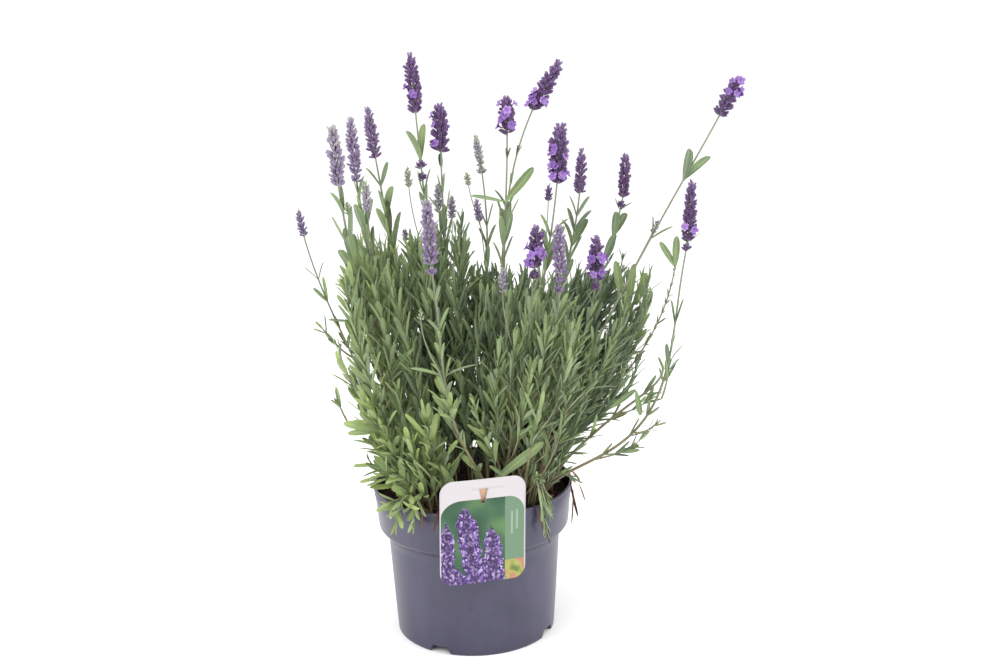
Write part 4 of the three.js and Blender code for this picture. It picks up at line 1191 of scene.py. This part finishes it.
def grow(number):
    """One stem of the plant: its leafy shoot with its side shoots, its bare stalk and its flower spike."""
    stem = stem_line(number)
    tint = LEAF_TINT.get(number, LEAF_TINT_ELSEWHERE)
    plenty = PLENTY.get(number, 1.0)
    bare = BARE.get(number, 0.1)
    width = LEAF_WIDTH * BREADTH.get(number, 1.0)
    long = LEAF_LENGTH * min(1.0, 0.6 + plenty / 2)
    main = stretch(stem["line"], 0.0, stem["leaf_top"], 36)
    pitch = NODE_PITCH / min(plenty, 1.0) ** 0.4
    leafy = main[: round(len(main) * LEAFY_TO.get(number, 1.0))]
    blades = leaf_pairs(leafy, pitch, long * 1.1, width * 1.15, 0.46, tint, bare, 0.5 * plenty)
    bark = [stem_tube(main, STEM_RADIUS, STALK_RADIUS * 1.1, 0.0, 1.0)]
    for path in side_shoots(stem, round(SIDE_SHOOTS * plenty), plenty >= 1):
        blades += leaf_pairs(path, SIDE_PITCH, long, width, 0.42, tint, bare, 0.35)
        bark.append(stem_tube(path, STEM_RADIUS * 0.6, STALK_RADIUS * 0.6, 0.3, 1.0, 5))
    piece("shoot_leaves_" + number, blades, PALETTE["leaves"], ["leafy_shoot_" + number], creased=True)
    piece("shoot_stems_" + number, bark, PALETTE["stems"], ["leafy_shoot_" + number])
    if stem["spike_base"] is None:
        return
    spike = stretch(stem["line"], stem["spike_base"], 1.0, 10)
    stalk = stretch(stem["line"], stem["leaf_top"], stem["spike_base"], 22)
    rachis = stem_tube(np.concatenate([stalk, spike[1:-1]]), STALK_RADIUS, STALK_RADIUS * 0.7, 0.9, 1.0)
    high = []
    for drop, long, wide, opening, turn in STALK_LEAVES.get(number, []):
        share = max(0.0, stem["spike_base"] - drop * MM / length_of(stem["line"]))
        high += stalk_pair(stem["line"], share, long * MM, wide * MM, np.radians(opening), np.radians(turn), tint)
    piece("stalk_" + number, [rachis], PALETTE["stems"], ["flower_stalk_" + number])
    if high:
        piece("stalk_leaves_" + number, high, PALETTE["leaves"], ["flower_stalk_" + number], creased=True)
    tone = TONE.get(number, RIPE_TONE)
    cups = [flower_spike(spike[0], spike[-1], tone, BULK.get(number, 1.0))]
    for drop in LONE_WHORLS.get(number, []):
        share = stem["spike_base"] - drop * MM / length_of(stem["line"])
        low = stretch(stem["line"], share, share + 0.02, 2)
        cups.append(flower_spike(low[0], low[0] + unit(low[1] - low[0]) * CALYX_LENGTH, tone, 0.7))
    piece("spike_" + number, cups, PALETTE["calyx"], ["flower_spike_" + number])
    if number in OPEN_FLOWERS:
        blooms = open_flowers(spike[0], spike[-1], *OPEN_FLOWERS[number])
        piece("open_flowers_" + number, [blooms], PALETTE["petals"], ["flower_spike_" + number])


def stalk_pair(line, share, long, wide, opening, turn, tint):
    """One pair of leaves high on a bare stalk."""
    points, tangents = at_share(line, np.array([share, share]))
    radial = spokes(tangents, turn + np.array([0, np.pi]))
    tone = np.clip(0.3 + 0.34 * tint + RNG.normal(0, 0.06, 2), 0, 1)
    opening = opening + RNG.normal(0, 0.05, 2)
    return [sprouts(points, tangents, radial, opening, long * np.array([1, 0.92]), np.full(2, wide * 1.12), tone)]


def side_bud(number, offset, length, tone):
    """A small side bud beside a spike, on its own thin stalk from the stem well below."""
    stem = stem_line(number)
    tip = stem["line"][-1] + np.array(offset) * MM
    way = unit(stem["line"][-1] - stem["line"][-8])
    base = tip - way * length * MM
    heights = stem["line"][:, 2]
    drop = 60 * MM + 1.2 * np.linalg.norm((base - stem["line"][-1])[:2])
    share = np.interp(base[2] - drop, heights, np.linspace(0, 1, len(heights)))
    start, ahead = (value[0] for value in at_share(stem["line"], np.array([share])))
    path = bend_between(start, ahead + 0.4 * unit(base - start), base, way)
    path = np.concatenate([path, [tip - way * length * MM * 0.3]])
    stalk = stem_tube(path, STALK_RADIUS * 0.75, STALK_RADIUS * 0.5, 0.9, 1.0, 5)
    return stalk, flower_spike(base, tip, tone, min(0.64, 0.34 + length / 90))


def front_left(path):
    """How far a shoot stands towards the front left, from 0 to 1."""
    return np.clip(0.5 - (path[0, 0] + path[0, 1]) / (1.4 * SOIL_RADIUS), 0, 1)


for number in STEMS:
    grow(number)

# The shoots that aren't a stem's own. Their leaves are three pieces, so that none has too many triangles.
young = young_shoots(YOUNG_SHOOTS)
young_leaves, right_leaves, low_leaves = [], [], []
for path in young:
    near = front_left(path)
    long, wide = LEAF_LENGTH * (0.9 + 0.1 * near), LEAF_WIDTH * (1 + 0.5 * near)
    young_leaves += leaf_pairs(path, LOW_PITCH, long, wide, 0.5, 0.36 + 0.5 * near, 0.15, 0.3)
for path in right_shoots(RIGHT_SHOOTS):
    young.append(path)
    right_leaves += leaf_pairs(path, 8 * MM, LEAF_LENGTH * 0.95, LEAF_WIDTH * 0.9, 0.42, 0.34, 0.3, 0.3)
for foot, over, tip, long, wide, opening, tone in LOW_SHOOTS:
    path = arch(foot, over, tip)
    young.append(path)
    low_leaves += leaf_pairs(path, LOW_PITCH, long * MM, wide * MM, np.radians(opening), tone, 0.3, 0.3)
low_leaves.append(single_leaves(LONE_LEAVES))
piece("young_leaves", young_leaves, PALETTE["leaves"], creased=True)
piece("right_leaves", right_leaves, PALETTE["leaves"], creased=True)
piece("low_leaves", low_leaves, PALETTE["leaves"], creased=True)
piece("dry_leaves", [single_leaves(DRY_LEAVES)], PALETTE["dry"], creased=True)
piece("young_stems", [stem_tube(p, 1.1 * MM, 0.7 * MM, 0.3, 1.0, 5) for p in young], PALETTE["stems"])
buds = [side_bud(*row) for row in SIDE_BUDS]
piece("side_bud_stalks", [b[0] for b in buds], PALETTE["stems"])
piece("side_buds", [b[1] for b in buds], PALETTE["calyx"])

piece("pot", [nursery_pot()], pot_plastic(), ["nursery_pot"])
ground = [soil_body(), crumbs(CRUMBS), *fibres(FIBRES)]
piece("soil", ground, peat(), ["potting_soil"], smooth=False)
card = piece("label_card", [label_card()], printed_card(), ["plant_label"])
card.data.materials.append(plain_card())
# The card gets its thickness backwards from its printed face, and its back and edges are plain.
shell = card.modifiers.new("card thickness", "SOLIDIFY")
shell.thickness = CARD_THICKNESS
shell.offset = -1
shell.material_offset = 1
shell.material_offset_rim = 1
piece("label_tongue", [label_tongue()], tan_card(), ["plant_label"], smooth=False)


# ---- The studio ----
FLOOR_REACH = 30.0  # in metres, from the pot
SURROUND_STRENGTH = 1.12
PLANT_MIDDLE = Vector((0, 0, 0.25))
CAMERA_PLACE = (0.02895, -1.25035, 0.60751)
CAMERA_DOWN, CAMERA_ROLL = 14.219, 1.2  # in degrees
CAMERA_LENS, CAMERA_SENSOR = 49.77, 36  # in millimetres


def studio():
    """A plain pale floor, a white surround, two large side lamps and one above.

    A lamp's place and size are in metres, and its power is in watts. Each looks at the middle of the plant.
    """
    mesh = bpy.data.meshes.new("floor")
    corners = [(x * FLOOR_REACH, y * FLOOR_REACH, 0) for x, y in ((-1, -1), (1, -1), (1, 1), (-1, 1))]
    mesh.from_pydata(corners, [], [(0, 1, 2, 3)])
    floor = bpy.data.objects.new("floor", mesh)
    bpy.context.scene.collection.objects.link(floor)
    mesh.materials.append(finish_of("pale_floor", Base_Color=colour("#FAFAFA"), Roughness=0.9)[0])

    world = bpy.data.worlds.new("surround")
    bpy.context.scene.world = world
    world.use_nodes = True
    background = world.node_tree.nodes["Background"]
    background.inputs["Color"].default_value = colour("#FFFFFF")
    background.inputs["Strength"].default_value = SURROUND_STRENGTH
    for name, place, size, power in (
        ("lamp_left", (-1.5, -0.9, 1.3), 1.1, 20),
        ("lamp_right", (1.6, -0.5, 1.0), 1.1, 16),
        ("lamp_above", (0.0, -0.3, 2.2), 1.4, 18),
    ):
        lamp = bpy.data.lights.new(name, "AREA")
        lamp.size = size
        lamp.energy = power
        made = bpy.data.objects.new(name, lamp)
        made.location = place
        made.rotation_euler = (PLANT_MIDDLE - Vector(place)).to_track_quat("-Z", "Y").to_euler()
        bpy.context.scene.collection.objects.link(made)


def camera():
    """The camera stands a little over a metre in front, looks down on the plant and is rolled slightly."""
    lens = bpy.data.cameras.new("camera")
    lens.lens = CAMERA_LENS
    lens.sensor_width = CAMERA_SENSOR
    made = bpy.data.objects.new("camera", lens)
    tilt = Matrix.Rotation(np.radians(90 - CAMERA_DOWN), 4, "X")
    roll = Matrix.Rotation(np.radians(-CAMERA_ROLL), 4, "Z")
    made.matrix_world = Matrix.Translation(CAMERA_PLACE) @ tilt @ roll
    bpy.context.scene.collection.objects.link(made)
    bpy.context.scene.camera = made


studio()
camera()
bpy.context.scene.view_settings.view_transform = "Standard"
